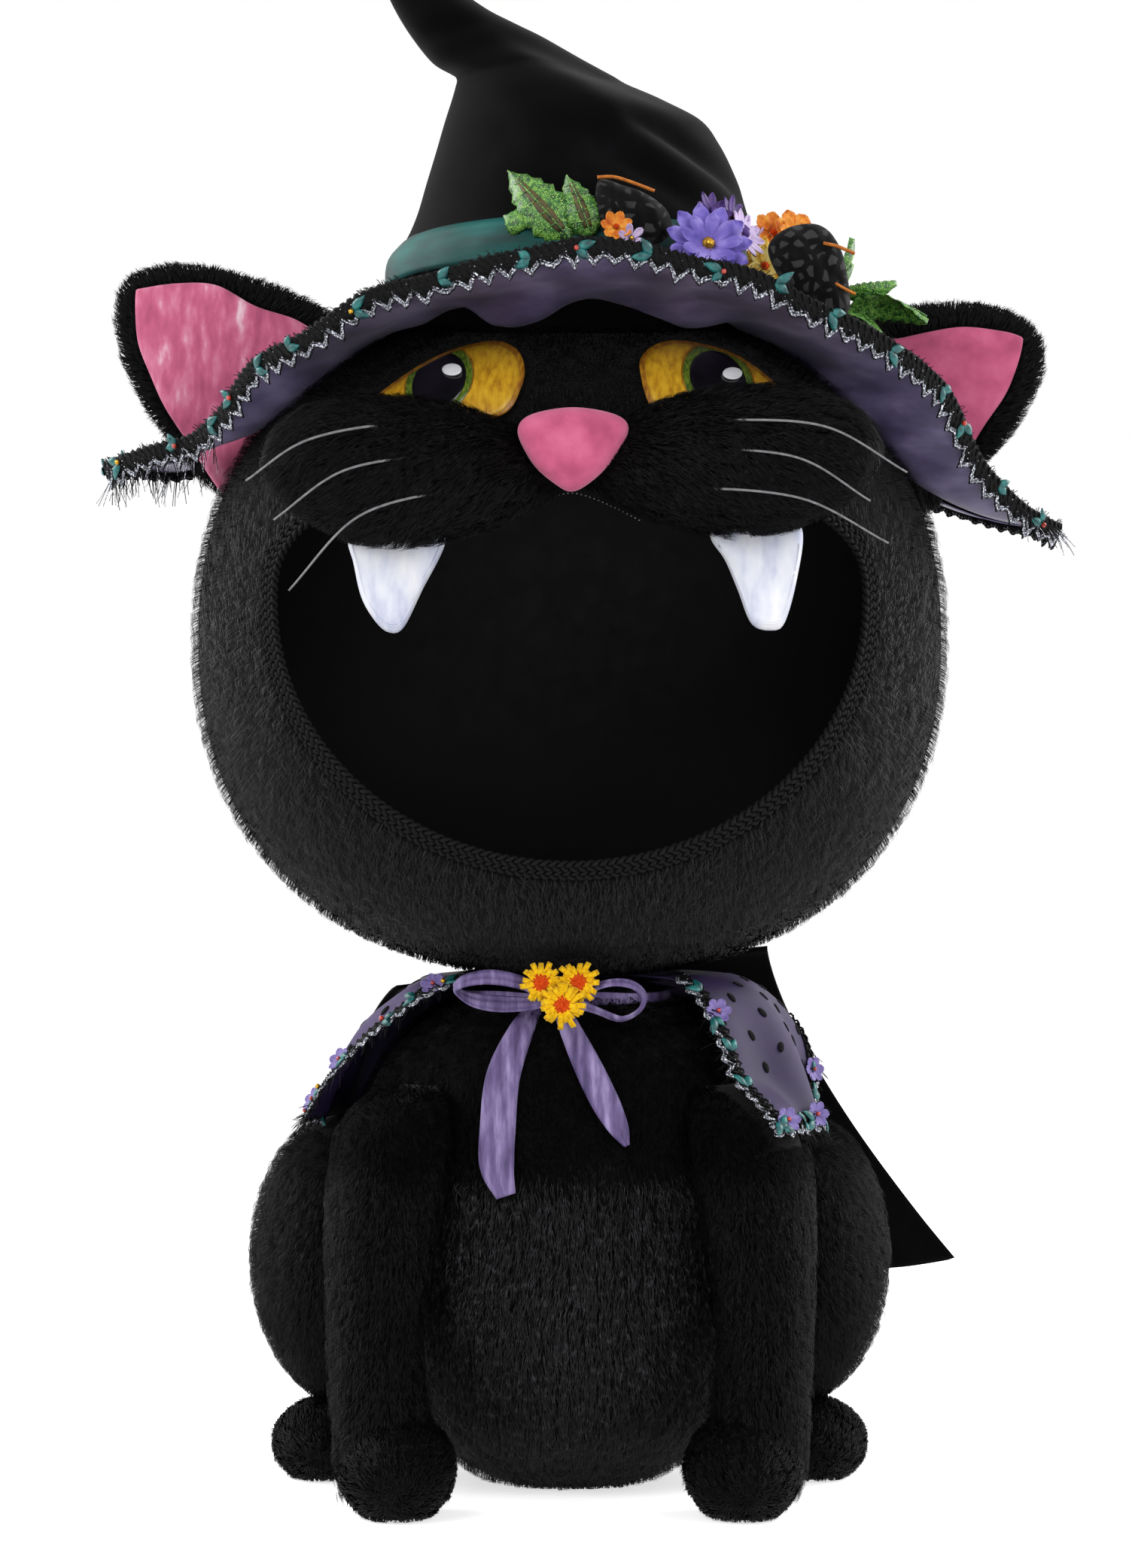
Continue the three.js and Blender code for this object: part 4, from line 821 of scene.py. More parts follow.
def pile(name, body, shape, count, length, comb, seed, lift=0.4, look=None, hidden=(), keep=None, clump=8.0):
    """Fur as tapering hairs that lie along the comb and gather in tufts. length may be a function.

    Hair high on the body is nearly black: a painted shade.
    """
    places, normals = scatter(shape, count, seed)
    shown = np.ones(len(places), bool)
    for covers in hidden:
        shown &= ~covers(places + normals * 3)
    if keep is not None:
        shown &= keep(places, normals)
    places, normals = places[shown], normals[shown]
    random = np.random.default_rng(seed + 1000)
    spare = random.random((len(places), 6))
    cells = np.floor(places / clump)
    tuft = np.stack([hash_noise(cells, seed + step) for step in range(5)], -1)
    lie = comb(places) + (tuft[:, :3] - 0.5) * 0.3 + (spare[:, :3] - 0.5) * 0.5
    lie = unit(off_skin(lie, normals))
    reach = length(places) if callable(length) else np.full(len(places), float(length))
    reach = reach * (0.75 + 0.5 * spare[:, 3]) * (0.85 + 0.3 * tuft[:, 3])
    rise = lift * (0.75 + 0.5 * tuft[:, 4]) * (0.8 + 0.4 * spare[:, 4])
    pull = off_skin((cells + 0.5) * clump - places, normals) * CLUMP_PULL
    side = unit(np.cross(normals, lie) + (spare[:, 4:5] - 0.5) * normals)
    rows = []
    for share, bend, size in HAIR_STEPS:
        lean = bend * (1 - rise)
        out = normals * (reach * share * np.sqrt(np.maximum(1 - lean ** 2, 0.05)) * (1 - lean))[:, None]
        along = reach * max(share, 0) * (0.45 + 0.5 * bend) * (1 - rise * 0.4)
        middle = places + out + lie * along[:, None] + pull * bend
        if size:
            half = side * (HAIR_WIDTH * size / 2 * (0.7 + 0.6 * spare[:, 5:6]))
            rows += [middle - half, middle + half]
        else:
            rows.append(middle)
    points = np.stack(rows, 1).reshape(-1, 3)
    points[:, 2] = np.maximum(points[:, 2], FLOOR_GAP)
    start = np.arange(len(places))[:, None] * 5
    heap = Heap()
    heap.add((points,))
    # hairs high on the body take the nearly black look: painted shade
    high = places[:, 2] + straying(places, spare[:, 5]) > PAINTED_SHADE_FOOT
    dark = ((body == "body") & high).astype(int)
    heap.faces += [start + np.array([0, 2, 3, 1]), start + np.array([2, 4, 3])]
    heap.looks += [dark, dark]
    return heap.make(name, body, "fur_black", [look or fur_black, fur_painted_shade])


def downwards(sideways):
    """Hair that hangs down and runs a little outwards."""
    def comb(places):
        return directions(places, sideways * places[:, 0] / 100 + 0.22 * swirl(places, 42, 3),
                          0.2 * swirl(places, 42, 8), -1)
    return comb


def stuffed(name, shape, node, body="body"):
    padded(name, shape, body, "fur_black", backing, node)


BODY_PAIRS = {"foreleg": forelegs, "forepaw": forepaws, "haunch": haunches, "hind_paw": hind_paws}
for hand, side in SIDES.items():
    for part, forms in BODY_PAIRS.items():
        stuffed(f"plush_{part}_{side}", forms[hand].shape, f"{part}_{side}")
    stuffed(f"plush_cheek_{side}", cheeks[hand].shape, f"cheek_{side}", "head")
stuffed("plush_torso", torso.shape, "torso")
stuffed("plush_head", shell(-0.5, -PLUSH_THICKNESS, 0.5), "head_plush", "head")
BOWL_FACE = -PLUSH_THICKNESS - 0.3
bowl = make("bowl_shell", shell(BOWL_FACE, BOWL_FACE - BOWL_WALL, 0.5), "head", "bowl_black", bowl_black)
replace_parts(bowl, "bowl_front", "bowl_back")

# Tail, which lies on the floor behind the seat
TAIL_ROOT_RADIUS = 17
TAIL_TIP_RADIUS = 9
tail_path = along_path([
    [0, 114, 25.5], [-5.6, 153, 14.5], [-42, 174, 12.5], [-95, 175.5, 10.5], [-140, 153, 8.6],
], 40)
tail_radius = np.linspace(TAIL_ROOT_RADIUS, TAIL_TIP_RADIUS, 40) - 0.4
tail_radius[-4:] *= [0.97, 0.9, 0.75, 0.45]
tail_shape = tube(tail_path, tail_radius, 20, guide=(0, 0, 1))
tail_shape[0][:, 2] = np.maximum(tail_shape[0][:, 2], FLOOR_GAP)
stuffed("plush_tail", tail_shape, "tail")

# Cape: it hangs down the back

CAPE_TOP_LEFT, CAPE_TOP_RIGHT = np.array([-104.0, 44, 292]), np.array([119.0, 40, 316])
CAPE_HEM_LEFT, CAPE_HEM_RIGHT = np.array([-184.0, 140, 119.5]), np.array([240.0, 134, 119.5])
CAPE_NECK_BACK = 28
CAPE_HEM_BACK = 24
CAPE_FOLD = 7
CAPE_SPREAD_POWERS = (0.8, 1.5)
# how far the hem hangs lower in the middle than at its corners
CAPE_HEM_SAG = 12
CAPE_FOLDS = 5
u, v = np.meshgrid(np.linspace(0, 1, 120), np.linspace(0, 1, 60))
top = CAPE_TOP_LEFT + (CAPE_TOP_RIGHT - CAPE_TOP_LEFT) * u[..., None]
hem = CAPE_HEM_LEFT + (CAPE_HEM_RIGHT - CAPE_HEM_LEFT) * u[..., None]
bow = np.sin(math.pi * u)
# the cape falls straight at first beside the neck and then runs out to its hem
spread = v ** (CAPE_SPREAD_POWERS[0] + (CAPE_SPREAD_POWERS[1] - CAPE_SPREAD_POWERS[0]) * u)
x = top[..., 0] + (hem[..., 0] - top[..., 0]) * spread
behind = top[..., 1] + CAPE_NECK_BACK * bow
y = behind + (hem[..., 1] + CAPE_HEM_BACK * bow - behind) * v ** 0.7
y = y + CAPE_FOLD * v * np.cos(u * math.tau * CAPE_FOLDS)
z = top[..., 2] + (hem[..., 2] - top[..., 2]) * v ** 1.1 - CAPE_HEM_SAG * v * np.sin(math.pi * u) ** 0.6
cape_grid = np.stack([x, y, z], -1)
cape_grid[..., 1] += 1.5 * swirl(cape_grid, 30, 5) * v - 1.2

# Capelet: its two halves lie over the shoulders

CAPELET_NECK = (66, 62)
CAPELET_HEM = (150, 118)
CAPELET_NECK_Z = 302
CAPELET_DROP = 86
CAPELET_FOLD = 5
CAPELET_FOLDS = 5
CAPELET_EDGES = {-1: (-132, -178), 1: (-52, -49)}
CAPELET_FLARES = {-1: 0.62, 1: 0.35}
CAPELET_DEPTH_POWER = 0.75
# how far back its edging runs
LACE_END = 48
SEAM_GAP_DEGREES = 0.4
# the hem climbs towards the back: between these angles off the front, down to a share of the drop
CAPELET_CLIMB = {-1: (140, 170, 0.6), 1: (78, 108, 0.4)}


def capelet_place(hand, u, v):
    """Places on a capelet half: u round it and v down it."""
    neck, hem = CAPELET_EDGES[hand]
    seam = 90 - 360 + SEAM_GAP_DEGREES if hand < 0 else 90 - SEAM_GAP_DEGREES
    front = neck + (hem - neck) * v
    start, end = (front, seam) if hand < 0 else (seam, front)
    turn = start + (end - start) * u
    first, last, least = CAPELET_CLIMB[hand]
    climb = np.clip((np.abs(turn + 90) - first) / (last - first), 0, 1)
    v = v * (1 - (1 - least) * climb ** 2 * (3 - 2 * climb))
    turn = np.radians(turn)
    ripple = CAPELET_FOLD * v * np.cos(u * math.tau * CAPELET_FOLDS)
    reach_x = CAPELET_NECK[0] + (CAPELET_HEM[0] - CAPELET_NECK[0]) * v ** CAPELET_FLARES[hand] + ripple
    reach_y = CAPELET_NECK[1] + (CAPELET_HEM[1] - CAPELET_NECK[1]) * v ** CAPELET_DEPTH_POWER + ripple
    z = CAPELET_NECK_Z - CAPELET_DROP * v ** 1.4
    return np.stack([reach_x * np.cos(turn), HEAD_Y + reach_y * np.sin(turn), z + 0 * u], -1)


def outward_faces(grid):
    normal = slopes(grid)
    away = grid - np.array([0, HEAD_Y, 220])
    return normal * np.sign((normal * away).sum(-1, keepdims=True))


# how many steps of a millimetre a cloth may move outwards, and how often it is evened out
DRAPE_STEPS = 60
EVEN_STEPS = 6


def drape(grid, forms, room):
    """Moves the places of a cloth outwards until it clears the forms below, and evens it out."""
    push = grid - [0, HEAD_Y, 0]
    push[..., 2] = 0
    push = unit(push)
    moved = np.zeros(grid.shape[:2])
    for _ in range(DRAPE_STEPS):
        flat = (grid + push * moved[..., None]).reshape(-1, 3)
        caught = np.zeros(len(flat), bool)
        for form in forms:
            caught |= form.inside(flat, room)
        moved += caught.reshape(moved.shape)
    for _ in range(EVEN_STEPS):
        wide = np.pad(moved, 1, mode="edge")
        even = (wide[:-2, 1:-1] + wide[2:, 1:-1] + wide[1:-1, :-2] + wide[1:-1, 2:]) / 4
        moved = np.maximum(even, moved * 0.9)
    return grid + push * moved[..., None]


CAPE_NEAR = 9
CAPE_ROOM = 3.5


def before_cape(grid):
    """Keeps the back of a cloth between the body and the cape."""
    flat = cape_grid[::2, ::2].reshape(-1, 3)
    for row in grid:
        gap = ((row[:, None, [0, 2]] - flat[:, [0, 2]]) ** 2).sum(-1)
        nearest = gap.argmin(1)
        covered = (gap.min(1) < CAPE_NEAR ** 2) & (row[:, 1] > 20)
        row[:, 1] = np.where(covered, np.minimum(row[:, 1], flat[nearest, 1] - CAPE_ROOM), row[:, 1])
    return grid


CAPELET_ROOM = 5.5
capelets = {}
for hand in SIDES:
    u, v = np.meshgrid(np.linspace(0, 1, 90), np.linspace(0, 1, 28))
    grid = capelet_place(hand, u, v)
    grid = drape(grid, [torso, *forelegs.values(), *haunches.values()], CAPELET_ROOM)
    normal = outward_faces(grid)
    grid = before_cape(grid + normal * (1.4 + 0.8 * swirl(grid, 20, 6))[..., None])
    if (slopes(grid) * normal).sum() < 0:
        grid, normal = grid[:, ::-1], normal[:, ::-1]
    capelets[hand] = grid, normal


CAPELET_NEAR = 14
CAPELET_COVER = 2
POINTS_AT_ONCE = 4000


def under_capelets(points):
    """Which places the capelet covers closely."""
    covered = np.zeros(len(points), bool)
    near = np.flatnonzero(points[:, 2] > CAPELET_NECK_Z - CAPELET_DROP - 8)
    for grid, normal in capelets.values():
        flat, out = grid[::2, ::2].reshape(-1, 3), normal[::2, ::2].reshape(-1, 3)
        for part in np.array_split(near, max(len(near) // POINTS_AT_ONCE, 1)):
            gap = points[part, None] - flat
            distance = (gap ** 2).sum(-1)
            closest = distance.argmin(1)
            rows = np.arange(len(part))
            height = (gap[rows, closest] * out[closest]).sum(-1)
            covered[part] |= (distance[rows, closest] < CAPELET_NEAR ** 2) & (height < CAPELET_COVER)
    return covered


# Coats of fur

UNDER_HAT_Z = 655
UNDER_HAT_REACH = 98


def cheek_comb(hand):
    def comb(places):
        return directions(places, hand * (0.75 + 0.25 * swirl(places, 24, 5)), 0.1,
                          -0.5 - (CHEEK_Z - places[:, 2]) * 0.012 + 0.35 * swirl(places, 20, 9))
    return comb


def head_comb(places):
    direction = downwards(0.18)(places)
    direction[:, 1] += 0.35 * np.sign(places[:, 1])
    return direction


def tail_comb(places):
    nearest = np.argmin(((places[:, None] - tail_path[None]) ** 2).sum(-1), 1)
    return np.gradient(tail_path, axis=0)[nearest]


def paw_comb(places):
    return directions(places, 0.3 * swirl(places, 20, 6), -0.8, -0.35 + 0.3 * swirl(places, 20, 4))


def under_hat(points):
    reach = np.hypot(points[:, 0], points[:, 1] - HEAD_Y)
    return (points[:, 2] > UNDER_HAT_Z) & (reach < UNDER_HAT_REACH)


body_forms = [torso, *forelegs.values(), *forepaws.values(), *haunches.values(), *hind_paws.values()]


def others(form):
    return [other.inside for other in body_forms if other is not form] + [under_capelets]


# The eyes' edges in the photograph, under the cheeks' fur at their foot
EYE_EDGES = {
    -1: [(472, 568), (480, 549), (500, 526), (537, 498), (578, 474), (622, 458), (662, 453), (688, 466),
         (697, 492), (690, 520), (672, 548), (620, 566), (540, 584), (490, 584)],
    1: [(850, 492), (852, 474), (868, 459), (895, 452), (935, 457), (978, 471), (1020, 500), (1050, 532),
        (1060, 556), (1040, 576), (960, 576), (890, 566), (862, 536)],
}
EYES = {hand: along_path(np.array(edge, float), 72, closed=True) for hand, edge in EYE_EDGES.items()}


def off_eyes(places, margin):
    """Which places on the head stay clear of the eyes, by a margin in the photograph's points."""
    scale = PIXEL * (1 + places[:, 1] / CAMERA_DISTANCE)
    flat = np.stack([CENTRE_X + places[:, 0] / scale, CENTRE_Y - (places[:, 2] - CAMERA_HEIGHT) / scale], -1)
    clear = np.ones(len(places), bool)
    for edge in EYES.values():
        away = flat - edge.mean(0)
        clear &= np.hypot(*away.T) > reach_of(edge - edge.mean(0), away) + margin
    return clear


head_fur = head_layer(-0.5, 0.5)
head_skin = (head_fur.reshape(-1, 3), quads(len(head_fur), head_fur.shape[1], True)[:, ::-1])
in_cheeks = [cheek.inside for cheek in cheeks.values()]


OVER_CAPE_Z = 332
OVER_CAPE_REACH = 105


def above_cape(points):
    """The underside of the head, where it turns over the top of the cape."""
    reach = np.hypot(points[:, 0], points[:, 1] - HEAD_Y)
    return (points[:, 2] < OVER_CAPE_Z) & (reach < OVER_CAPE_REACH) & (points[:, 1] > 0)


head_hidden = [*in_cheeks, under_hat, above_cape, lambda points: torso.inside(points, 4)]


def head_length(places):
    """Shorter hair where the head meets the neck, and round the eyes."""
    length = np.clip(5 + (places[:, 2] - 300) * 0.1, 4.5, 9.0)
    return np.where((places[:, 1] < HEAD_Y) & off_eyes(places, 14), length, 3.2)


def shown_front(places, normals):
    return (places[:, 1] < HEAD_Y) & off_eyes(places, 3)


def shown_back(places, normals):
    return places[:, 1] >= HEAD_Y


def foreleg_length(places):
    """Longer hair low on the leg, where it falls over the paw."""
    return np.interp(places[:, 2], [20, 60, 110], [15, 12, 9])


def off_floor(places, normals):
    return places[:, 2] > 2


HEAD_HAIRS = 110000
for part, seed, keep in (("front", 11, shown_front), ("back", 12, shown_back)):
    pile(f"coat_head_{part}", "head", head_skin, HEAD_HAIRS, head_length, head_comb, seed, hidden=head_hidden,
         look=fur_head_painted_sheen, keep=keep)
# hairs, length, comb, seed, and which places keep them
BODY_COATS = {
    "foreleg": (34000, foreleg_length, downwards(0.1), 30, None),
    "forepaw": (15000, 8, paw_comb, 40, off_floor),
    "haunch": (42000, 9, downwards(0.2), 50, None),
    "hind_paw": (12000, 8, paw_comb, 60, off_floor),
}
for hand, side in SIDES.items():
    pile(f"coat_cheek_{side}", "head", cheeks[hand].shape, 42000, 11, cheek_comb(hand), 20 + hand, lift=0.42,
         hidden=[in_head, cheeks[-hand].inside])
    for part, (hairs, length, comb, seed, keep) in BODY_COATS.items():
        form = BODY_PAIRS[part][hand]
        pile(f"coat_{part}_{side}", "body", form.shape, hairs, length, comb, seed + hand, hidden=others(form),
             keep=keep)
torso_hidden = [*others(torso), in_head]
TORSO_SIDE_Y = -20
pile("coat_torso_back", "body", torso.shape, 60000, 9, downwards(0.1), 71, hidden=torso_hidden,
     keep=lambda places, normals: places[:, 1] > TORSO_SIDE_Y)
chest_draw = np.random.default_rng(7)


def front_of(is_belly):
    """Keeps the places on the front that grow the lighter hair of painted sheen, low down, or those that
    don't.
    """
    def keep(places, normals):
        spare = chest_draw.random(len(places))
        low = places[:, 2] < PAINTED_SHEEN_TOP + straying(places, spare)
        return (places[:, 1] <= TORSO_SIDE_Y) & (low == is_belly)
    return keep


pile("coat_chest", "body", torso.shape, 110000, 8, downwards(0.06), 72, lift=0.34, hidden=torso_hidden,
     keep=front_of(False))
pile("coat_belly", "body", torso.shape, 110000, 11, downwards(0.06), 73, lift=0.34, look=fur_belly_painted_sheen,
     hidden=torso_hidden, keep=front_of(True))
pile("coat_tail", "body", tail_shape, 20000, 9, tail_comb, 81, hidden=[form.inside for form in body_forms],
     keep=lambda places, normals: places[:, 2] > 1.5)

# Ears

EAR_WIDTH = 130
EAR_HEIGHT = 133
EAR_FEET = {-1: (204, 589), 1: (196, 572)}
EAR_FRONT = -2
EAR_THICKNESS = 24
EAR_TURN_DEGREES = {-1: 0, 1: 11}
EAR_SHARES = [
    (0, 0), (0.28, 0.29), (0.39, 0.45), (0.47, 0.62), (0.5, 0.8), (0.45, 0.93), (0.34, 0.985), (0.16, 1),
    (-0.15, 0.925), (-0.48, 0.775), (-0.62, 0.55), (-0.4, 0.1),
]
EAR_LINING_THICKNESS = 1.2
EAR_LININGS = {
    -1: [(180, 385), (184, 383), (232, 376), (286, 378), (339, 406), (395, 425), (418, 450), (398, 505),
         (350, 570), (318, 625), (302, 654), (290, 650), (249, 588), (218, 540), (199, 498), (183, 456),
         (179, 414)],
    1: [(1170, 456), (1200, 448), (1274, 434), (1331, 439), (1356, 446), (1360, 451), (1354, 480),
        (1337, 523), (1308, 566), (1280, 610), (1262, 618), (1225, 570), (1180, 500)],
}


def ear_edge(hand):
    """The ear's edge and its middle, in X and Z."""
    edge = np.array(EAR_SHARES) * [EAR_WIDTH, EAR_HEIGHT]
    turn = math.radians(EAR_TURN_DEGREES[hand])
    spin = np.array([[math.cos(turn), -math.sin(turn)], [math.sin(turn), math.cos(turn)]])
    across, up = EAR_FEET[hand]
    ring, middle = along_path(edge @ spin, 96, closed=True), edge.mean(0) @ spin
    return ring * [hand, 1] + [hand * across, up], middle * [hand, 1] + [hand * across, up]


def cushion(edge, middle, front, back, rows=10, power=2.4):
    """A closed pillow over an outline in X and Z. Its middle stands at front and back."""
    rings = []
    for face, turns in ((front, np.linspace(0.04, 1, rows)), (back, np.linspace(1, 0.04, rows)[1:])):
        for share in turns:
            flat = middle + (edge - middle) * math.sin(share * math.pi / 2)
            height = (1 - math.sin(share * math.pi / 2) ** power) ** (1 / power)
            rings.append(np.stack([flat[:, 0], np.full(len(flat), face * height), flat[:, 1]], -1))
    return lofted(np.array(rings))


ears = {}
for hand, side in SIDES.items():
    edge, middle = ear_edge(hand)
    half = EAR_THICKNESS / 2
    shape = cushion(edge, middle, -half + 1, half)
    shape[0][:, 1] += HEAD_Y + EAR_FRONT + half
    ears[hand] = shape
    stuffed(f"plush_ear_{side}", shape, f"ear_{side}", "head")


def ear_comb(hand):
    _, middle = ear_edge(hand)

    def comb(places):
        away = unit(directions(places, places[:, 0] - middle[0], 0, places[:, 2] - middle[1] + 25))
        return away + 0.3 * swirl(places, 18, 7)[:, None]
    return comb


def lining_edge(hand):
    return along_path(spots(EAR_LININGS[hand], 0), 120, closed=True)


def off_lining(hand):
    edge = lining_edge(hand)
    middle = edge.mean(0)

    def keep(places, normals):
        away = places[:, [0, 2]] - middle
        return ~((normals[:, 1] < -0.2) & (np.hypot(*away.T) < reach_of((edge - middle) * 0.97, away)))
    return keep


for hand, side in SIDES.items():
    pile(f"coat_ear_{side}", "head", ears[hand], 26000, 8.5, ear_comb(hand), 90 + hand, lift=0.36,
         hidden=[in_head], keep=off_lining(hand), clump=5)
    edge = lining_edge(hand)
    middle = edge.mean(0)
    rings = []
    for back in (0, EAR_LINING_THICKNESS):
        sheet = []
        for share in np.linspace(0.03, 1, 26):
            flat = middle + (edge - middle) * share
            level = np.stack([flat[:, 0], 0 * flat[:, 0], flat[:, 1]], -1)
            dent = -1.2 - 3.4 * math.sqrt(max(1 - share ** 4, 0)) + 0.7 * swirl(level, 20, 5 + hand)
            sheet.append(np.stack([flat[:, 0], HEAD_Y + EAR_FRONT + 1.5 + dent + back, flat[:, 1]], -1))
        rings += sheet if back == 0 else sheet[::-1]
    span = edge.max(0) - edge.min(0)
    area = 0.5 * abs(np.dot(edge[:, 0], np.roll(edge[:, 1], 1)) - np.dot(edge[:, 1], np.roll(edge[:, 0], 1)))
    sewn(f"ear_velvet_{side}", lofted(np.array(rings)), "head", "velvet_pink",
         velvet_crushed_painted_sheen if hand < 0 else velvet_pink, f"ear_lining_{side}", flat=tuple(span * MM),
         held="stretched", rests_on=(f"plush_ear_{side}",), area=area * MM * MM)

# Nose, fangs, eyes, whiskers and the mouth's braid

NOSE_Y = HEAD_Y - 202
NOSE_BULGE = 14
nose_edge = along_path(spots([
    (758, 653), (778, 645), (806, 621), (827, 592), (835, 571), (828, 556), (802, 546), (761, 541),
    (720, 546), (695, 556), (687, 572), (694, 594), (712, 622), (740, 645),
], -200), 84, closed=True)
nose_middle = nose_edge.mean(0) + [0, 3]
nose = cushion(nose_edge, nose_middle, -NOSE_BULGE, 12, rows=12, power=2.8)
nose[0][:, 1] += NOSE_Y
padded("nose_velvet", nose, "head", "velvet_pink", velvet_pink, "nose")

FANG_Y = HEAD_Y - 163
FANG_BULGE = 10
FANG_POWER = 2.6
FANG_HEM_SHARE = 0.9
FANG_EDGES = {
    -1: [(462, 716), (469, 748), (480, 795), (500, 828), (518, 841), (536, 834), (560, 786), (592, 716),
         (560, 690), (480, 690)],
    1: [(943, 712), (963, 745), (980, 785), (998, 829), (1024, 838), (1042, 828), (1058, 772), (1066, 706),
        (1040, 686), (960, 686)],
}
for hand, side in SIDES.items():
    edge = along_path(spots(FANG_EDGES[hand], -158), 80, closed=True)
    middle = edge.mean(0)
    shape = cushion(edge, middle, -FANG_BULGE, 9, rows=9, power=FANG_POWER)
    shape[0][:, 1] += FANG_Y
    padded(f"fang_satin_{side}", shape, "head", "satin_white", satin_white, f"fang_{side}")
    rim = middle + (edge - middle) * FANG_HEM_SHARE
    low = rim[rim[:, 1] < middle[1] + 12]
    gap = np.argmax(np.linalg.norm(np.diff(low, axis=0), axis=1)) + 1
    low = np.roll(low, -gap, axis=0)
    depth = FANG_Y - FANG_BULGE * (1 - FANG_HEM_SHARE ** FANG_POWER) ** (1 / FANG_POWER) - 0.2
    hem = tube(np.stack([low[:, 0], np.full(len(low), depth), low[:, 1]], -1), 0.6, 5, guide=(0, 1, 0))
    make(f"fang_hem_{side}", hem, "head", "satin_white", satin_white)

PUPILS = {-1: [(583, 507), 35, 38, 9], 1: [(954, 505), 37, 39, -9]}
CATCH_LIGHTS = {-1: (600, 491), 1: (973, 496)}


def eye_patch(edge, middle, grow, rows, dome):
    """A domed patch on the head between a middle and an edge, both in the photograph's points."""
    rings = []
    for share in np.linspace(0.02, 1, rows):
        ring = on_face([tuple(place) for place in middle + (edge - middle) * share], grow)
        ring[:, 1] -= dome * (1 - share ** 2)
        rings.append(ring)
    grid = np.array(rings)
    back = grid[-1] + [0, 2.5, 0]
    return lofted(np.concatenate([grid, back[None]]))


def within_eye(edge, ring, inset):
    """The ring pulled in to where it stays inside the eye's edge."""
    middle = edge.mean(0)
    away = ring - middle
    reach = np.hypot(*away.T)
    limit = reach_of(edge - middle, away) - inset
    return middle + away * (np.minimum(reach, limit) / reach)[:, None]


for hand, side in SIDES.items():
    edge = EYES[hand]
    middle, wide, high, lean = PUPILS[hand]
    middle = np.array(middle, float)
    turn = full_turn(64)
    round_edge = np.stack([np.cos(turn), -np.sin(turn)], -1)

    def pupil(scale):
        ring = round_edge * [wide, high] * scale
        ring[:, 0] -= ring[:, 1] / high * lean
        return within_eye(edge, middle + ring, 4)

    centre = edge.mean(0)
    light = np.array(CATCH_LIGHTS[hand], float)
    eye = Heap()
    # edge, middle, how far off the head, rows, dome and look
    for look_edge, look_middle, grow, rows, dome, look in (
        (edge, centre, 3.0, 10, 1.5, 0), (centre + (edge - centre) * 0.93, centre, 3.25, 10, 1.5, 1),
        (pupil(1.3), middle, 4.2, 10, 1.2, 0), (pupil(1.24), middle, 4.6, 10, 1.2, 2),
        (pupil(1.0), middle, 5.0, 10, 1.2, 3), (light + round_edge * [13, 8], light, 6.9, 5, 0.3, 4),
    ):
        eye.add(eye_patch(look_edge, look_middle, grow, rows, dome), look)
    looks = [eye_rim, eye_gold, eye_green, eye_black, eye_light]
    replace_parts(eye.make(f"eye_print_{side}", "head", "eye_gold", looks), f"eye_{side}")

# how far forward the root, the middle and the tip of a whisker stand
WHISKER_DEPTHS = (-212, -224, -222)
WHISKERS = {
    (-1, 1): [(488, 567), (400, 588), (326, 639)],
    (-1, 2): [(546, 608), (450, 628), (363, 691)],
    (-1, 3): [(569, 657), (470, 690), (383, 785)],
    (1, 1): [(984, 558), (1100, 568), (1205, 628)],
    (1, 2): [(960, 597), (1065, 610), (1156, 666)],
    (1, 3): [(946, 649), (1070, 664), (1180, 722)],
}
for (hand, number), points in WHISKERS.items():
    side = SIDES[hand]
    flat = [spot(*point, depth) for point, depth in zip(points, WHISKER_DEPTHS)]
    path = np.insert(flat, 1, WHISKER_DEPTHS, axis=1)
    path = np.concatenate([[path[0] + [-hand * 12, 14, -2]], path])
    run = along_path(path, 26)
    cord = tube(run, np.linspace(0.8, 0.55, 26), 8)
    whisker = make(f"whisker_cord_{side}_{number}", cord, "head", "whisker_grey", whisker_grey)
    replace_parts(whisker, f"whisker_{side}_{number}")

BRAID_PITCH = 15.0
# the braid has two rows of strands, this far off its middle, over a core
BRAID_ROW = 2.9
BRAID_CORE_RADIUS = 2.2
STRAND_RADIUS = 1.25
turn = full_turn(720)
edge_x, edge_z = mouth_edge(turn, 6.0)
ring = along_path(np.stack([edge_x, edge_z], -1)[::6], 1100, closed=True)
ring3 = np.stack([ring[:, 0], face_y(ring[:, 0], ring[:, 1], -3.0), ring[:, 1]], -1)
ahead = unit(np.roll(ring3, -1, 0) - np.roll(ring3, 1, 0))
out = unit(np.stack([ring3[:, 0], (ring3[:, 1] - HEAD_Y) * 1.3, ring3[:, 2] - HEAD_CENTRE_Z], -1))
across = unit(np.cross(ahead, out))
length = np.linalg.norm(np.roll(ring3, -1, 0) - ring3, axis=1).sum()
phase = np.arange(len(ring3)) / len(ring3) * round(length / BRAID_PITCH) * math.tau
braid = Heap()
for row in (-BRAID_ROW, BRAID_ROW):
    for strand in range(3):
        angle = phase + strand * math.tau / 3 + (0.6 if row > 0 else 0)
        sway = (np.sin(angle) * 2.3)[:, None]
        rise = (np.sin(2 * angle) * 1.3)[:, None]
        braid.add(tube(ring3 + across * (sway + row) + out * (rise + 3.0), STRAND_RADIUS, 6, closed=True,
                       guide=(0, 1, 0)))
braid.add(tube(ring3 + out * 0.6, BRAID_CORE_RADIUS, 8, closed=True, guide=(0, 1, 0)))
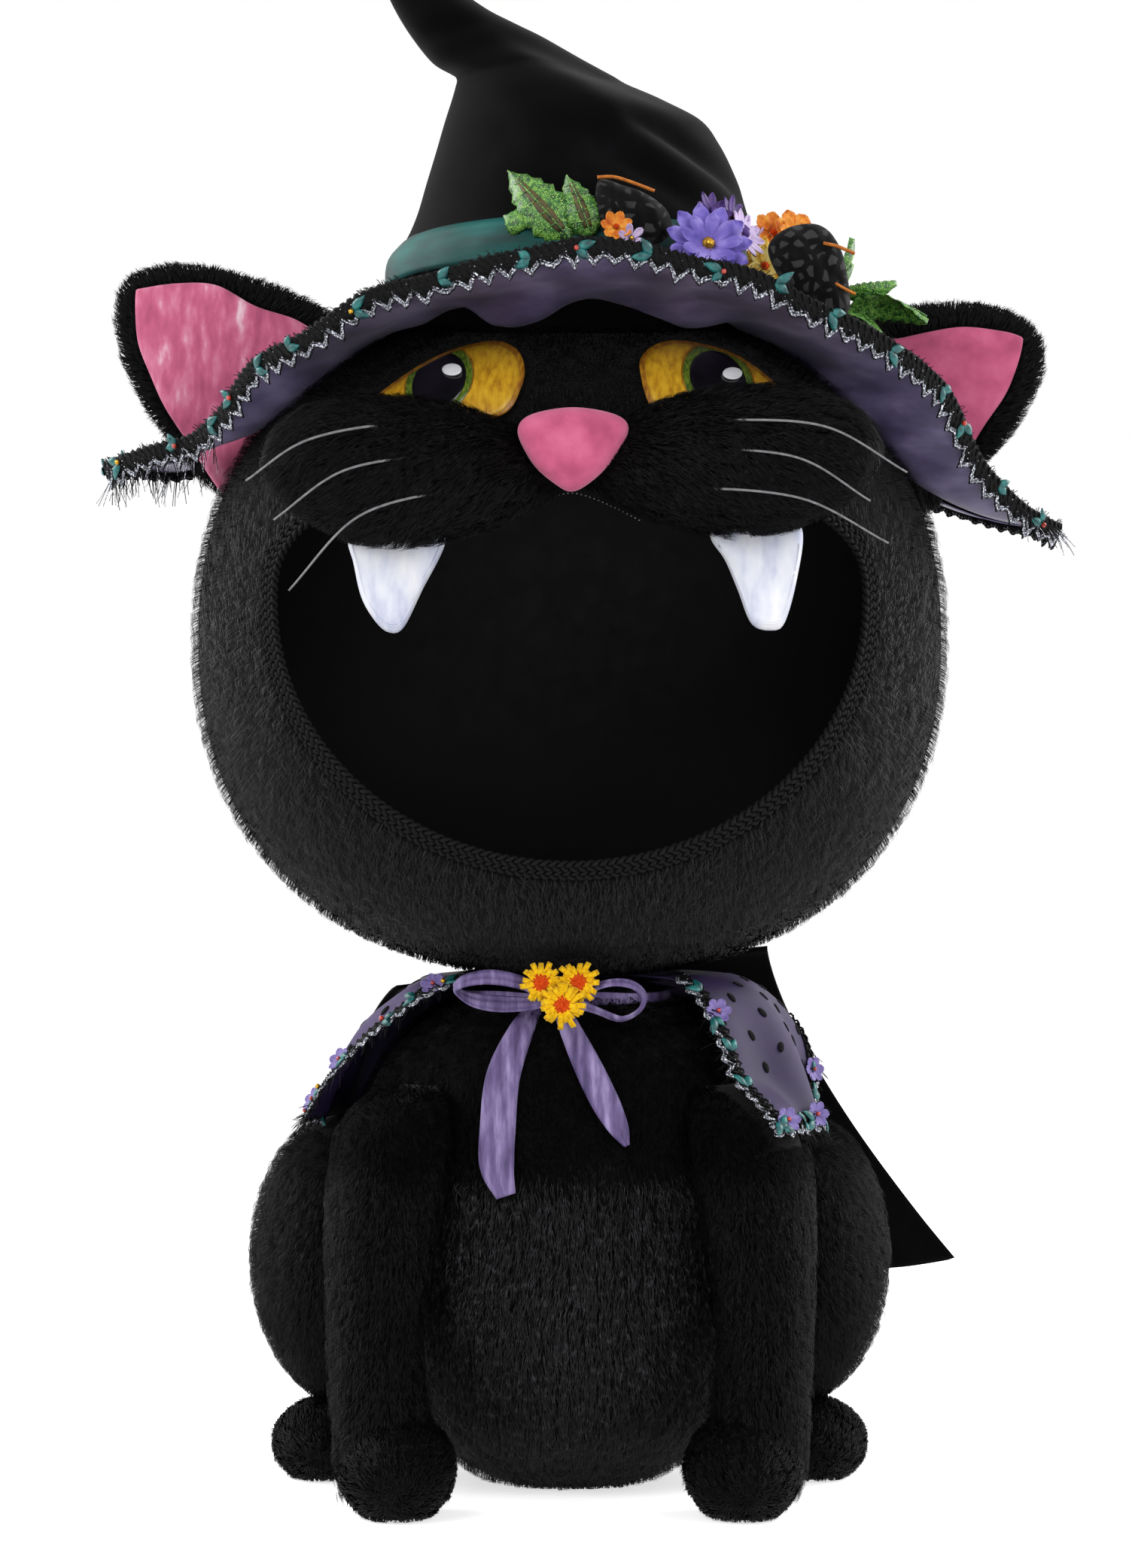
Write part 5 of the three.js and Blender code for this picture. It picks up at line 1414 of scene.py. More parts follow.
# the small stitches that show along the mouth's arch
ARCH = [(668, 697), (700, 678), (730, 662), (757, 655), (785, 661), (820, 676), (849, 691)]
arch = along_path(on_face(ARCH, 1.5), 34)
for place in arch:
    braid.add(ball(place + [0, 1.5, 0], (0.5, 0.4, 0.4)), 1)
trim = braid.make("mouth_braid", "head", "braid_black", [braid_black, whisker_grey])
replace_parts(trim, "mouth_trim")

# Hat

CROWN_WALL = 4
# left and right edge of the crown in the photograph, and its depth as a share of its width
CROWN_EDGES = [
    (517, 468, 997, 468, 1.0), (513, 400, 998, 385, 1.0), (518, 352, 997, 330, 1.0),
    (540, 322, 994, 293, 0.98), (555, 288, 985, 256, 0.97), (567, 246, 973, 229, 0.96),
    (578, 205, 956, 194, 0.95), (588, 168, 934, 163, 0.94), (597, 138, 888, 138, 0.93),
    (604, 115, 838, 115, 0.9), (606, 108, 820, 104, 0.89), (604, 102, 806, 96, 0.89),
    (596, 97, 788, 86, 0.89), (576, 86, 726, 52, 0.92), (558, 66, 688, 34, 0.95), (540, 40, 650, 14, 1.0),
    (524, 12, 611, -12, 1.0), (508, -22, 566, -38, 1.0), (492, -50, 523, -60, 1.0),
    (480, -69, 491, -74, 1.0), (477, -75, 480, -77, 1.0),
]
# creases: points of the photograph, width, height, and whether they run over the crown's back
CREASES = [
    ([(640, 98), (690, 105), (740, 124), (790, 158), (846, 196)], 13, 6, False),
    ([(690, 150), (740, 175), (790, 205), (850, 232)], 12, -3.5, False),
    ([(838, 176), (880, 196), (925, 224), (968, 252), (996, 280)], 6, -6, False),
    ([(822, 206), (868, 226), (915, 250), (960, 278)], 7, 3, False),
    ([(812, 222), (850, 246), (890, 272), (930, 300)], 7, -3, False),
    ([(612, 128), (640, 150), (668, 178), (690, 210)], 10, -2.5, False),
    ([(672, 52), (740, 82), (820, 116), (900, 160)], 7, -2.5, False),
    ([(556, 60), (580, 50), (612, 40), (650, 34)], 7, -2.5, False),
    ([(640, 110), (700, 150), (780, 170), (860, 165)], 10, -6, True),
    ([(590, 250), (680, 235), (800, 250), (930, 220)], 12, 4, True),
]
CROWN_ROWS = 130
CROWN_AROUND = 120


def crease(grid, points, width, height, behind):
    """Raises or sinks a line over the crown that runs as the given points of the photograph."""
    normal = slopes(grid, True)
    line = along_path(spots(points, HEAD_Y), 60)
    flat = grid[..., [0, 2]]
    raised = np.zeros(flat.shape[:2])
    for place, share in zip(line, np.linspace(0, 1, 60)):
        gap = np.hypot(flat[..., 0] - place[0], flat[..., 1] - place[1])
        fade = math.sin(math.pi * (0.06 + 0.88 * share)) ** 0.6
        raised = np.maximum(raised, np.exp(-(gap / width) ** 2) * fade)
    facing = normal[..., 1] if behind else -normal[..., 1]
    facing = np.clip(facing * 2 + 0.3, 0, 1)
    return grid + normal * (height * raised * facing)[..., None]


def crown_grid():
    ends = []
    for left_x, left_down, right_x, right_down, deep in CROWN_EDGES:
        left, right = spot(left_x, left_down, HEAD_Y), spot(right_x, right_down, HEAD_Y)
        half = math.hypot(right[0] - left[0], right[1] - left[1]) / 2
        ends.append([*left, *right, half * deep])
    table = along_path(np.array(ends), CROWN_ROWS)
    turn = full_turn(CROWN_AROUND)
    middle = (table[:, :2] + table[:, 2:4]) / 2
    half = (table[:, 2:4] - table[:, :2]) / 2
    flat = middle[:, None] + half[:, None] * np.cos(turn)[None, :, None]
    y = HEAD_Y + table[:, 4:5] * np.sin(turn)
    grid = np.stack([flat[..., 0], y, flat[..., 1]], -1)
    for points, width, height, behind in CREASES:
        grid = crease(grid, points, width, height, behind)
    normal = slopes(grid, True)
    return grid + normal * (1.3 * swirl(grid, 46, 2))[..., None]


crown = crown_grid()
reach = np.linalg.norm(crown - crown.mean(1, keepdims=True), axis=-1).min(1)[:, None, None]
crown_cloth = cloth(crown, np.minimum(CROWN_WALL, reach * 0.5), closed=True)
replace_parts(make("crown_velvet", crown_cloth, "hat", "velvet_black", velvet_black), "hat_crown")
LOW_ROWS = 54


def on_crown(turn, z, lift):
    """Places on the lower crown at angles round it and heights."""
    columns = np.mod(np.asarray(turn) / math.tau * crown.shape[1], crown.shape[1])
    found = []
    for column, height in zip(columns, np.broadcast_to(z, columns.shape)):
        first = int(column) % crown.shape[1]
        second = (first + 1) % crown.shape[1]
        blend = column - int(column)
        line = crown[:LOW_ROWS, first] * (1 - blend) + crown[:LOW_ROWS, second] * blend
        found.append([np.interp(height, line[:, 2], line[:, axis]) for axis in range(3)])
    found = np.array(found)
    away = found - [found[:, 0].mean(), HEAD_Y, 0]
    away[:, 2] = 0
    return found + unit(away) * np.broadcast_to(lift, len(found))[:, None]


def crown_y(x, z):
    """The front of the crown at a place across and up."""
    row = int(np.argmin(np.abs(crown[:LOW_ROWS, :, 2].mean(1) - z)))
    ring = crown[row]
    front = ring[ring[:, 1] < HEAD_Y]
    order = np.argsort(front[:, 0])
    return float(np.interp(x, front[order, 0], front[order, 1]))


BAND_FOOT = 707
BAND_HEIGHT = 27
turn = full_turn(180)
rise = 8 * np.clip(-np.sin(turn), 0, 1)
rows = []
for share in np.linspace(1, 0, 9):
    pucker = 0.5 * swirl(directions(turn, turn * 60, 0, share * 20), 9, 1)
    bulge = 1.0 + 0.9 * math.sin(math.pi * share) + pucker
    rows.append(on_crown(turn, BAND_FOOT + BAND_HEIGHT * share + rise, bulge))
sewn("hat_band_satin", cloth(np.array(rows)[::-1], 0.8, closed=True), "hat", "satin_teal", satin_teal,
     "hat_band", flat=(0.64, 0.027), held="stretched", rests_on=("crown_velvet",))

BRIM_ROOT_Z = 697
BRIM_REACH = 200
BRIM_DROOP = 100
BRIM_INNER = 106.6
FRONT_POWER = 1.2
SIDE_POWER = 1.8
# round from +X in degrees, then reach and drop below the root as shares of the two sizes above
BRIM_EDGE = np.array([
    [-180, 1.38, 0.94], [-174, 1.26, 0.85], [-167, 1.12, 0.82], [-159, 1.07, 0.68], [-150, 1.05, 0.45],
    [-135, 1.02, 0.25], [-120, 1, 0.06], [-105, 1, -0.06], [-90, 1, -0.16], [-75, 1.01, -0.14],
    [-60, 1.03, 0.01], [-45, 1.07, 0.19], [-30, 1.12, 0.39], [-20, 1.16, 0.6], [-13, 1.21, 0.93],
    [-6, 1.34, 1.2], [0, 1.46, 1.33], [20, 1.3, 1.1], [45, 1.18, 0.82], [70, 1.13, 0.56], [90, 1.12, 0.46],
    [110, 1.13, 0.52], [135, 1.2, 0.68], [160, 1.3, 0.85],
])
BRIM_COLUMNS = 288
BRIM_DEGREES = np.arange(BRIM_COLUMNS) / BRIM_COLUMNS * 360 - 180


def evened(line, shares):
    """A line of numbers that closes round, each mixed with its neighbours by five shares."""
    return np.convolve(np.concatenate([line[-2:], line, line[:2]]), shares, "valid")


def brim_grid(rows, start=0.0, wave=0.0):
    fine = np.concatenate([BRIM_EDGE, [[180, 1.38, 0.94]]])
    soft = [evened(np.interp(BRIM_DEGREES, fine[:, 0], fine[:, axis]), np.array([1, 2, 3, 2, 1]) / 9)
            for axis in (1, 2)]
    turn = np.radians(BRIM_DEGREES)
    grid = []
    for share in np.linspace(start, 1, rows):
        radius = BRIM_INNER + (BRIM_REACH * soft[0] - BRIM_INNER) * share
        front = max(share, 0) ** FRONT_POWER
        flare = 1 - (1 - share) ** SIDE_POWER
        fall = front + (flare - front) * np.cos(turn) ** 2
        z = BRIM_ROOT_Z - BRIM_DROOP * soft[1] * fall
        ripple = (1.3 * np.sin(11 * turn) + 1.1 * np.sin(17 * turn + 1)) * share ** 2 * (1 + wave)
        grid.append(np.stack([radius * np.cos(turn), HEAD_Y + radius * np.sin(turn), z + ripple], -1))
    return np.array(grid)


NOTCH_START = 125
NOTCH_FRONT = 19
NOTCH_BACK = 30


def slit_sheet(name, grid, thickness, slot, look):
    """A sheet round the crown with a slit on each side that lets the ears through."""
    heap = Heap()
    heap.add((grid.reshape(-1, 3), quads(grid.shape[0], grid.shape[1], True)))
    piece = heap.make(name, "hat", slot, [look])
    mesh = bmesh.new()
    mesh.from_mesh(piece.data)
    front, back, out = (HEAD_Y - NOTCH_FRONT) * MM, (HEAD_Y + NOTCH_BACK) * MM, NOTCH_START * MM
    for place, normal in (((0, front, 0), (0, 1, 0)), ((0, back, 0), (0, 1, 0)), ((out, 0, 0), (1, 0, 0)),
                          ((-out, 0, 0), (1, 0, 0))):
        everything = mesh.verts[:] + mesh.edges[:] + mesh.faces[:]
        bmesh.ops.bisect_plane(mesh, geom=everything, plane_co=place, plane_no=normal, dist=1e-6)
    gone = []
    for face in mesh.faces:
        middle = face.calc_center_median()
        if abs(middle.x) > out and front < middle.y < back:
            gone.append(face)
    bmesh.ops.delete(mesh, geom=gone, context="FACES")
    mesh.to_mesh(piece.data)
    mesh.free()
    solid = piece.modifiers.new("thickness", "SOLIDIFY")
    solid.thickness = thickness * MM
    solid.offset = 0
    graph = bpy.context.evaluated_depsgraph_get()
    done = bpy.data.meshes.new_from_object(piece.evaluated_get(graph))
    piece.modifiers.clear()
    piece.data = done
    return piece


brim = brim_grid(20)
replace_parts(slit_sheet("brim_velvet", brim, 2.0, "velvet_black", velvet_black), "hat_brim")

# the lining starts a little inside the brim's root
LINING_START = -0.06
# how far its inner fold hangs, round from the left by the front to the right
LINING_DIPS = np.array([
    [-180, 4], [-160, 6], [-140, 10], [-128, 4], [-120, 3], [-115, 15], [-106, 18], [-98, 14], [-90, 4],
    [-83, 0], [-74, 5], [-64, 11], [-55, 16], [-47, 14], [-40, 6], [-30, 10], [-15, 8], [0, 4], [60, 3],
    [120, 3], [180, 4],
])
lining = brim_grid(26, start=LINING_START, wave=0.3)
dips = evened(np.interp(BRIM_DEGREES, LINING_DIPS[:, 0], LINING_DIPS[:, 1]), np.ones(5) / 5)
down = slopes(lining, True)
down = down * np.sign(-down[..., 2:3])
for row, share in enumerate(np.linspace(LINING_START, 1, 26)):
    hang = math.exp(-((share - 0.04) / 0.22) ** 2) if share > 0.04 else max(0.0, (share - LINING_START) / 0.1)
    lining[row] += down[row] * 3.2
    lining[row, :, 2] -= dips * hang
    folds = 1.5 * swirl(directions(BRIM_DEGREES, BRIM_DEGREES * 1.6, 0, share * 30), 14, 4)
    lining[row] += down[row] * (folds + 1.5)[:, None] * math.sin(math.pi * min(max(share, 0), 1))
lining_piece = slit_sheet("brim_lining_satin", lining, 0.7, "satin_lavender", satin_lining)
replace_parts(lining_piece, "brim_lining")


# Lace, threads, beads and small flowers

def threads(heap, origins, directions, lengths, droop, seed, look, radius=0.32):
    """Loose threads that leave their origins and sag."""
    random = np.random.default_rng(seed)
    for origin, direction, length in zip(origins, directions, lengths):
        sway = random.normal(0, 0.35, 3)
        steps = np.linspace(0, 1, 5)[:, None]
        path = origin + unit(direction + sway * 0.5) * steps * length + steps ** 2 * (
            np.array([0, 0, -droop]) * length + sway * length * 0.35)
        heap.add(tube(path, np.linspace(radius, radius * 0.6, 5), 4), look)


def trace(path, inward, face, offsets, lifts):
    return path + inward * np.asarray(offsets)[:, None] + face * np.asarray(lifts)[:, None]


# how often the edging's scallops and stitches come
SCALLOP_PITCH = 5.2
STITCH_PITCH = 3.1
# the cords crocheted into it: middle, sweep, pitch and phase
LACE_CORDS = ((-0.8, 2.0, SCALLOP_PITCH, 0.0), (2.6, 1.7, 4.4, 1.3), (5.6, 1.7, 4.9, 2.2))
# the silver zigzag and the threads beside it: shift, radius and look
ZIGZAG_CORDS = ((0.0, 1.0, 1), (-1.9, 0.6, 1), (1.0, 0.6, 0))
# how far apart its glitter grains and loose threads are, on average
GRAIN_PITCH = 5
THREAD_PITCH = 2.4


def lace(heap, path, inward, face, seed, width, silver_at, points, tooth, leaf_every=42.0, closed=False):
    """A crocheted edging with a silver zigzag, sewn along the edge of a cloth."""
    random = np.random.default_rng(seed)
    step = np.linalg.norm(np.diff(path, axis=0), axis=1).mean()
    reach = np.arange(len(path)) * step

    def rounds(period):
        return np.arange(len(path)) / len(path) * max(round(len(path) * step / period), 1)

    scallop = np.abs(np.sin(rounds(SCALLOP_PITCH) * math.pi))
    rows = []
    for share in np.linspace(0, 1, 5):
        offsets = -1.4 - 1.8 * scallop + (width + 1.4 + 1.8 * scallop) * share
        rows.append(trace(path, inward, face, offsets, 0.4 + 0.8 * math.sin(math.pi * share) + 0 * reach))
    heap.add(cloth(np.array(rows), 0.9, closed=closed), 0)
    teeth = np.abs((rounds(tooth) % 1) * 2 - 1) * 2 - 1
    uneven = 1 + 0.3 * np.sin(rounds(31.0) * math.tau) + 0.3 * np.sin(rounds(53.0) * math.tau)
    low_edge = silver_at + points * teeth * uneven
    rows = []
    for share in (0, 0.5, 1):
        offsets = (low_edge + 0.6) * share + (silver_at * 0.5) * (1 - share)
        rows.append(trace(path, inward, face, offsets, 0.5 + 0 * reach))
    heap.add(cloth(np.array(rows), 0.8, closed=closed), 0)
    for middle, sweep, period, phase in LACE_CORDS:
        angle = rounds(period) * math.tau + phase
        cord = trace(path, inward, face, middle + sweep * np.sin(angle), 1.7 + 0.6 * np.cos(angle))
        heap.add(tube(cord, 0.72, 5, closed=closed), 0)
    stitch = rounds(STITCH_PITCH) * math.tau
    for shift, size, look in ZIGZAG_CORDS:
        cord = trace(path, inward, face, low_edge + shift + 0.3 * np.sin(stitch), 1.4 + 0.3 * np.cos(stitch))
        heap.add(tube(cord, size, 5, closed=closed), look)
    for place in random.integers(0, len(path), int(len(path) * step / GRAIN_PITCH)):
        grain = trace(path[place:place + 1], inward[place:place + 1], face[place:place + 1],
                      [random.uniform(-1, width + 1)], [2.1])[0]
        heap.add(ball(grain, np.full(3, random.uniform(0.3, 0.6)), 5, 4), 1)
    count = int(len(path) * step / THREAD_PITCH)
    spots_at = random.integers(0, len(path), count)
    threads(heap, path[spots_at] - inward[spots_at] * 1.5, -inward[spots_at] + face[spots_at] * 0.3,
            random.uniform(2, 5.5, count), 0.25, seed + 1, 0)
    position = random.uniform(8, 20)
    while position < reach[-1] - 6:
        index = int(position / step)
        along = unit(path[(index + 1) % len(path)] - path[index - 1])
        kind = random.integers(0, 4)
        origin = path[index] + inward[index] * random.uniform(0, 4) + face[index] * 2.4
        up = unit(along * random.choice([-1, 1]) + inward[index] * random.uniform(-0.6, 0.6))
        side = unit(np.cross(up, face[index]))
        for turn_by in (-0.5, 0.6):
            lean = up * math.cos(turn_by) + side * math.sin(turn_by)
            shape = leaf(random.uniform(8, 13), 5.2, 0.15, rows=7, thickness=0.4)
            heap.add(placed(shape, origin, np.cross(lean, face[index]), lean, face[index]), 2)
        if kind == 0:
            heap.add(ball(origin + face[index] * 1.4, (1.6, 1.6, 1.6)), random.choice([3, 5]))
        position += leaf_every * random.uniform(0.6, 1.4)


def blossom(heap, centre, face, radius, petals, looks, cup, width, pointed=0.0, turn=0.0):
    """A small flower on a cloth: petals round a heart."""
    face = unit(face)
    up = unit(np.array([0, 0, 1.0]) - face * face[2])
    across = np.cross(up, face)
    for shape in petal_ring(petals, radius, width, cup, pointed, turn):
        heap.add(placed(shape, centre, across, up, face), looks[0])
    heap.add(ball(centre + face * 1.6, np.full(3, radius * 0.17)), looks[1])


LACE_LOOKS = [braid_black, silver, leaf_teal, bead_red, petal_mauve, bead_gold]
edge = brim[-1]
path = along_path(edge, 1260, closed=True)
ahead = unit(np.roll(path, -1, 0) - np.roll(path, 1, 0))
outwards = unit(path * [1, 1, 0] - [0, HEAD_Y, 0])
# the edging hangs from the brim's edge, a little inwards
inward = -outwards * 0.3 + [0, 0, -1]
inward = unit(inward - ahead * (inward * ahead).sum(-1, keepdims=True))
face = unit(np.cross(ahead, inward))
face = face * np.sign((face * outwards).sum(-1, keepdims=True))
heap = Heap()
lace(heap, path + face * 0.8 - inward * 1.0, inward, face, 5, closed=True, width=7.5, silver_at=9.0,
     points=np.where(path[:, 1] < 30, 3.4, 1.2), tooth=12.5)

# the frayed ends of the edging at the brim's two side tips
fray_left = np.flatnonzero(path[:, 0] < -208)
fray_right = np.flatnonzero(path[:, 0] > 258)
random = np.random.default_rng(8)
# where they leave the edge and how many, how far below it, which way, how long at most, seed, look and radius
for places, count, inset, away, longest, seed, look, radius in (
    (fray_left, 90, 5, [-0.1, -0.35, -0.95], 17, 81, 0, 0.32),
    (fray_left, 60, 6, [-0.1, -0.35, -0.95], 15, 82, 1, 0.3),
    (fray_right, 40, 0, [0.85, -0.2, -0.45], 15, 83, 0, 0.32),
    (fray_right, 20, 0, [0.75, -0.2, -0.6], 14, 84, 1, 0.3),
):
    picked = random.choice(places, count)
    threads(heap, path[picked] + inward[picked] * inset, np.tile(away, (count, 1)),
            random.uniform(6, longest, count), 0.3, seed, look, radius)
heap.make("brim_lace", "hat", "braid_black", LACE_LOOKS)

# Trimmings on the hat

trims = Heap()
TRIM_LOOKS = [leaf_green, leaf_heart, cotton_patterned, edging_orange, petal_violet, petal_dark, petal_lilac,
              petal_orange, petal_yellow, felt_orange, leaf_teal, bead_gold, petal_violet]


def crown_spot(across, down, lift):
    """A place that stands off the crown's front by lift, and shows at a point of the photograph."""
    depth = CROWN_GUESS_Y
    for _ in range(GUESS_STEPS):
        x, z = spot(across, down, depth)
        depth = crown_y(x, z) - lift
    x, z = spot(across, down, depth)
    return np.array([x, depth, z])


def crown_facing(place):
    return unit([place[0] * 0.9, place[1] - HEAD_Y, 16.5])


def leaf_axes(start, end, place):
    """Across, up and out for a leaf from a start to an end, which faces as the crown does at a place."""
    up = unit(end - start)
    face = crown_facing(place)
    face = unit(face - up * np.dot(face, up))
    return np.cross(up, face), up, face


def big_leaf(side, foot, tip, lift, tip_lift, width):
    """A glitter leaf with a serrated edge, from its foot to its tip."""
    start, end = crown_spot(*foot, lift), crown_spot(*tip, tip_lift)
    length = np.linalg.norm(end - start)
    axes = leaf_axes(start, end, (start + end) / 2)
    heap = Heap()

    def lay(shape, look=0):
        heap.add(placed(shape, start, *axes), look)

    rows = 29
    v = np.linspace(0, 1, rows)
    teeth = 1 + 0.22 * np.abs(((v * 7) % 1) - 0.5) * 2 - 0.1
    outline = np.sin(np.pi * v ** 0.75) ** 0.75 * width / 2 * teeth
    u = np.linspace(-1, 1, 9)
    grid = np.zeros((rows, 9, 3))
    grid[..., 0] = u * (outline[:, None] + 0.2)
    grid[..., 1] = v[:, None] * length - np.abs(u) * 3 * np.sin(np.pi * v)[:, None]
    grid[..., 2] = (0.16 * length * np.sin(np.pi * v)[:, None] - 0.16 * width * np.abs(u) ** 1.5
                    + 0.5 * np.sin(v * 40)[:, None] * np.abs(u))
    lay(cloth(grid, 0.6))
    lay(cloth(grid[3:-5, 2:7] * [0.62, 1, 1] + [0, 0, 0.5], 0.3), 1)
    vein = grid[:, 4] + [0, 0, 0.9]
    lay(tube(vein[1:-1], 0.5, 5))
    for hand in SIDES:
        for row in range(5, rows - 6, 4):
            tip_at = grid[row + 3, 4 + hand * 4] * [0.85, 1, 1] + [0, 0, 0.9]
            lay(tube(np.linspace(vein[row], tip_at, 4), 0.35, 4))
    piece = heap.make(f"leaf_{side}", "hat", "leaf_glitter", [leaf_green, leaf_heart])
    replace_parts(piece, f"hat_leaf_{side}")


big_leaf("left", (757, 318), (674, 226), 4, 9, 27)
big_leaf("middle", (785, 312), (752, 232), 6, 8, 20)
big_leaf("right", (1128, 408), (1234, 424), 14, 30, 26)


def bow_lobe(name, node, outline, depth, thick, edging, seed):
    """A crumpled loop of patterned cotton with an orange edging."""
    edge = along_path(spots(outline, depth), 90, closed=True)
    middle = edge.mean(0)
    points, *faces = cushion(edge, middle, -thick, thick * 0.7, rows=14, power=2.2)
    points[:, 1] += depth
    folds = 1.8 * swirl(points, 9, seed) + 1.2 * swirl(points, 5, seed + 3)
    points[:, 1] -= folds * (points[:, 1] < depth)
    heap = Heap()
    heap.add((points, *faces), 0)
    for line, radius in edging:
        path = along_path(np.array([crown_spot(*place, 0) for place in line]), 20)
        path[:, 1] = depth - thick * 0.75
        heap.add(tube(path, radius, 8, guide=(0, 0, 1), squash=0.6), 1)
    piece = heap.make(name, "hat", "cotton_patterned", [cotton_patterned, edging_orange])
    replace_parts(piece, node)


bow_lobe("bow_lobe_left", "hat_bow_loop_left",
         [(795, 240), (830, 247), (866, 262), (889, 285), (890, 312), (868, 326), (830, 326), (803, 312),
          (793, 280)], -103, 12,
         [([(793, 243), (815, 243), (842, 252), (868, 263)], 1.7)], 3)
bow_lobe("bow_lobe_right", "hat_bow_loop_right",
         [(1020, 334), (1034, 310), (1064, 298), (1094, 302), (1116, 330), (1127, 375), (1128, 412),
          (1110, 424), (1074, 404), (1040, 376)], -97, 14,
         [([(1080, 352), (1098, 356), (1121, 364)], 1.7), ([(1096, 402), (1108, 409), (1122, 416)], 1.6)], 5)


def hat_flower(name, node, slot, parts):
    """A cluster of flowers.

    Each has a point of the photograph, lift, radius, petals, looks, cup, how pointed its petals are and their
    width as a share of the radius, and which way it leans.
    """
    heap = Heap()
    for index, (across, down, lift, radius, petals, looks, cup, pointed, wide, lean) in enumerate(parts):
        centre = crown_spot(across, down, lift)
        blossom(heap, centre, crown_facing(centre) + lean, radius, petals, looks, cup, radius * wide, pointed,
                index * 0.7)
    piece = heap.make(name, "hat", slot, TRIM_LOOKS)
    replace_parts(piece, node)


hat_flower("daisy_violet", "hat_daisy_purple", "petal_purple", [
    (940, 326, 40, 25, 11, (4, 11), 0.14, 0.0, 0.4, (-0.35, 0, 0.25)),
    (942, 325, 43, 18, 9, (4, 11), 0.3, 0.0, 0.42, (-0.35, 0, 0.25)),
    (972, 288, 26, 12, 8, (5, 11), 0.3, 0.4, 0.45, (0.2, 0, 0.3)),
    (946, 282, 20, 12, 8, (5, 5), 0.3, 0.4, 0.45, (-0.1, 0, 0.4)),
    (988, 312, 38, 15, 10, (6, 5), 0.2, 0.1, 0.36, (0.2, 0, 0.3)),
    (1008, 330, 40, 12, 9, (6, 11), 0.3, 0.1, 0.38, (0.3, 0, 0)),
])
hat_flower("flower_orange", "hat_flower_orange", "petal_orange", [
    (1056, 312, 34, 15, 7, (7, 9), 0.12, 0.0, 0.7, (-0.4, -0.7, 0.3)),
    (1052, 311, 37, 9, 6, (7, 9), 0.25, 0.0, 0.7, (-0.4, -0.7, 0.3)),
    (1026, 310, 34, 13, 7, (7, 9), 0.12, 0.0, 0.7, (-0.4, -0.7, 0.3)),
    (818, 302, 22, 9, 7, (7, 9), 0.3, 0.1, 0.6, (0, 0, 0.2)),
    (838, 317, 24, 8, 6, (6, 11), 0.3, 0.1, 0.5, (0, 0, 0)),
])
hat_flower("flower_yellow", "hat_flower_yellow", "petal_yellow", [
    (1014, 354, 54, 17, 8, (8, 9), 0.12, 0.6, 0.5, (-0.3, -0.6, -0.1)),
    (1014, 353, 57, 12, 7, (8, 9), 0.25, 0.5, 0.5, (-0.3, -0.6, -0.1)),
])
for foot, tip, lift, width, look in (
    ((1112, 372), (1136, 318), 14, 20, 0), ((1120, 396), (1192, 380), 20, 22, 0),
    ((1122, 410), (1178, 450), 16, 20, 0), ((824, 322), (812, 346), 20, 11, 10),
    ((846, 322), (868, 340), 20, 10, 10), ((905, 345), (890, 362), 26, 8, 10),
    ((700, 300), (668, 286), 5, 16, 0), ((1095, 400), (1135, 352), 10, 18, 0),
):
    start, end = crown_spot(*foot, lift), crown_spot(*tip, lift + 4)
    shape = leaf(np.linalg.norm(end - start), width, 0.14, serrated=True, rows=17)
    trims.add(placed(shape, start, *leaf_axes(start, end, start)), look)
trims.make("hat_small_leaves", "hat", "leaf_glitter", TRIM_LOOKS)

# Capelet, cape and ribbon

# rows and columns of the capelet's dots, and their half width, height and thickness
DOT_ROWS = 3
DOT_COLUMNS = 15
DOT_HALF = (2.4, 3.8, 0.6)
CAPELET_THREADS = 150


def edge_run(sheet, inset):
    """A line down the front edge of a capelet's sheet and along its hem, so many rows inside them."""
    return np.concatenate([sheet[2:-1, inset], sheet[-1 - inset]])


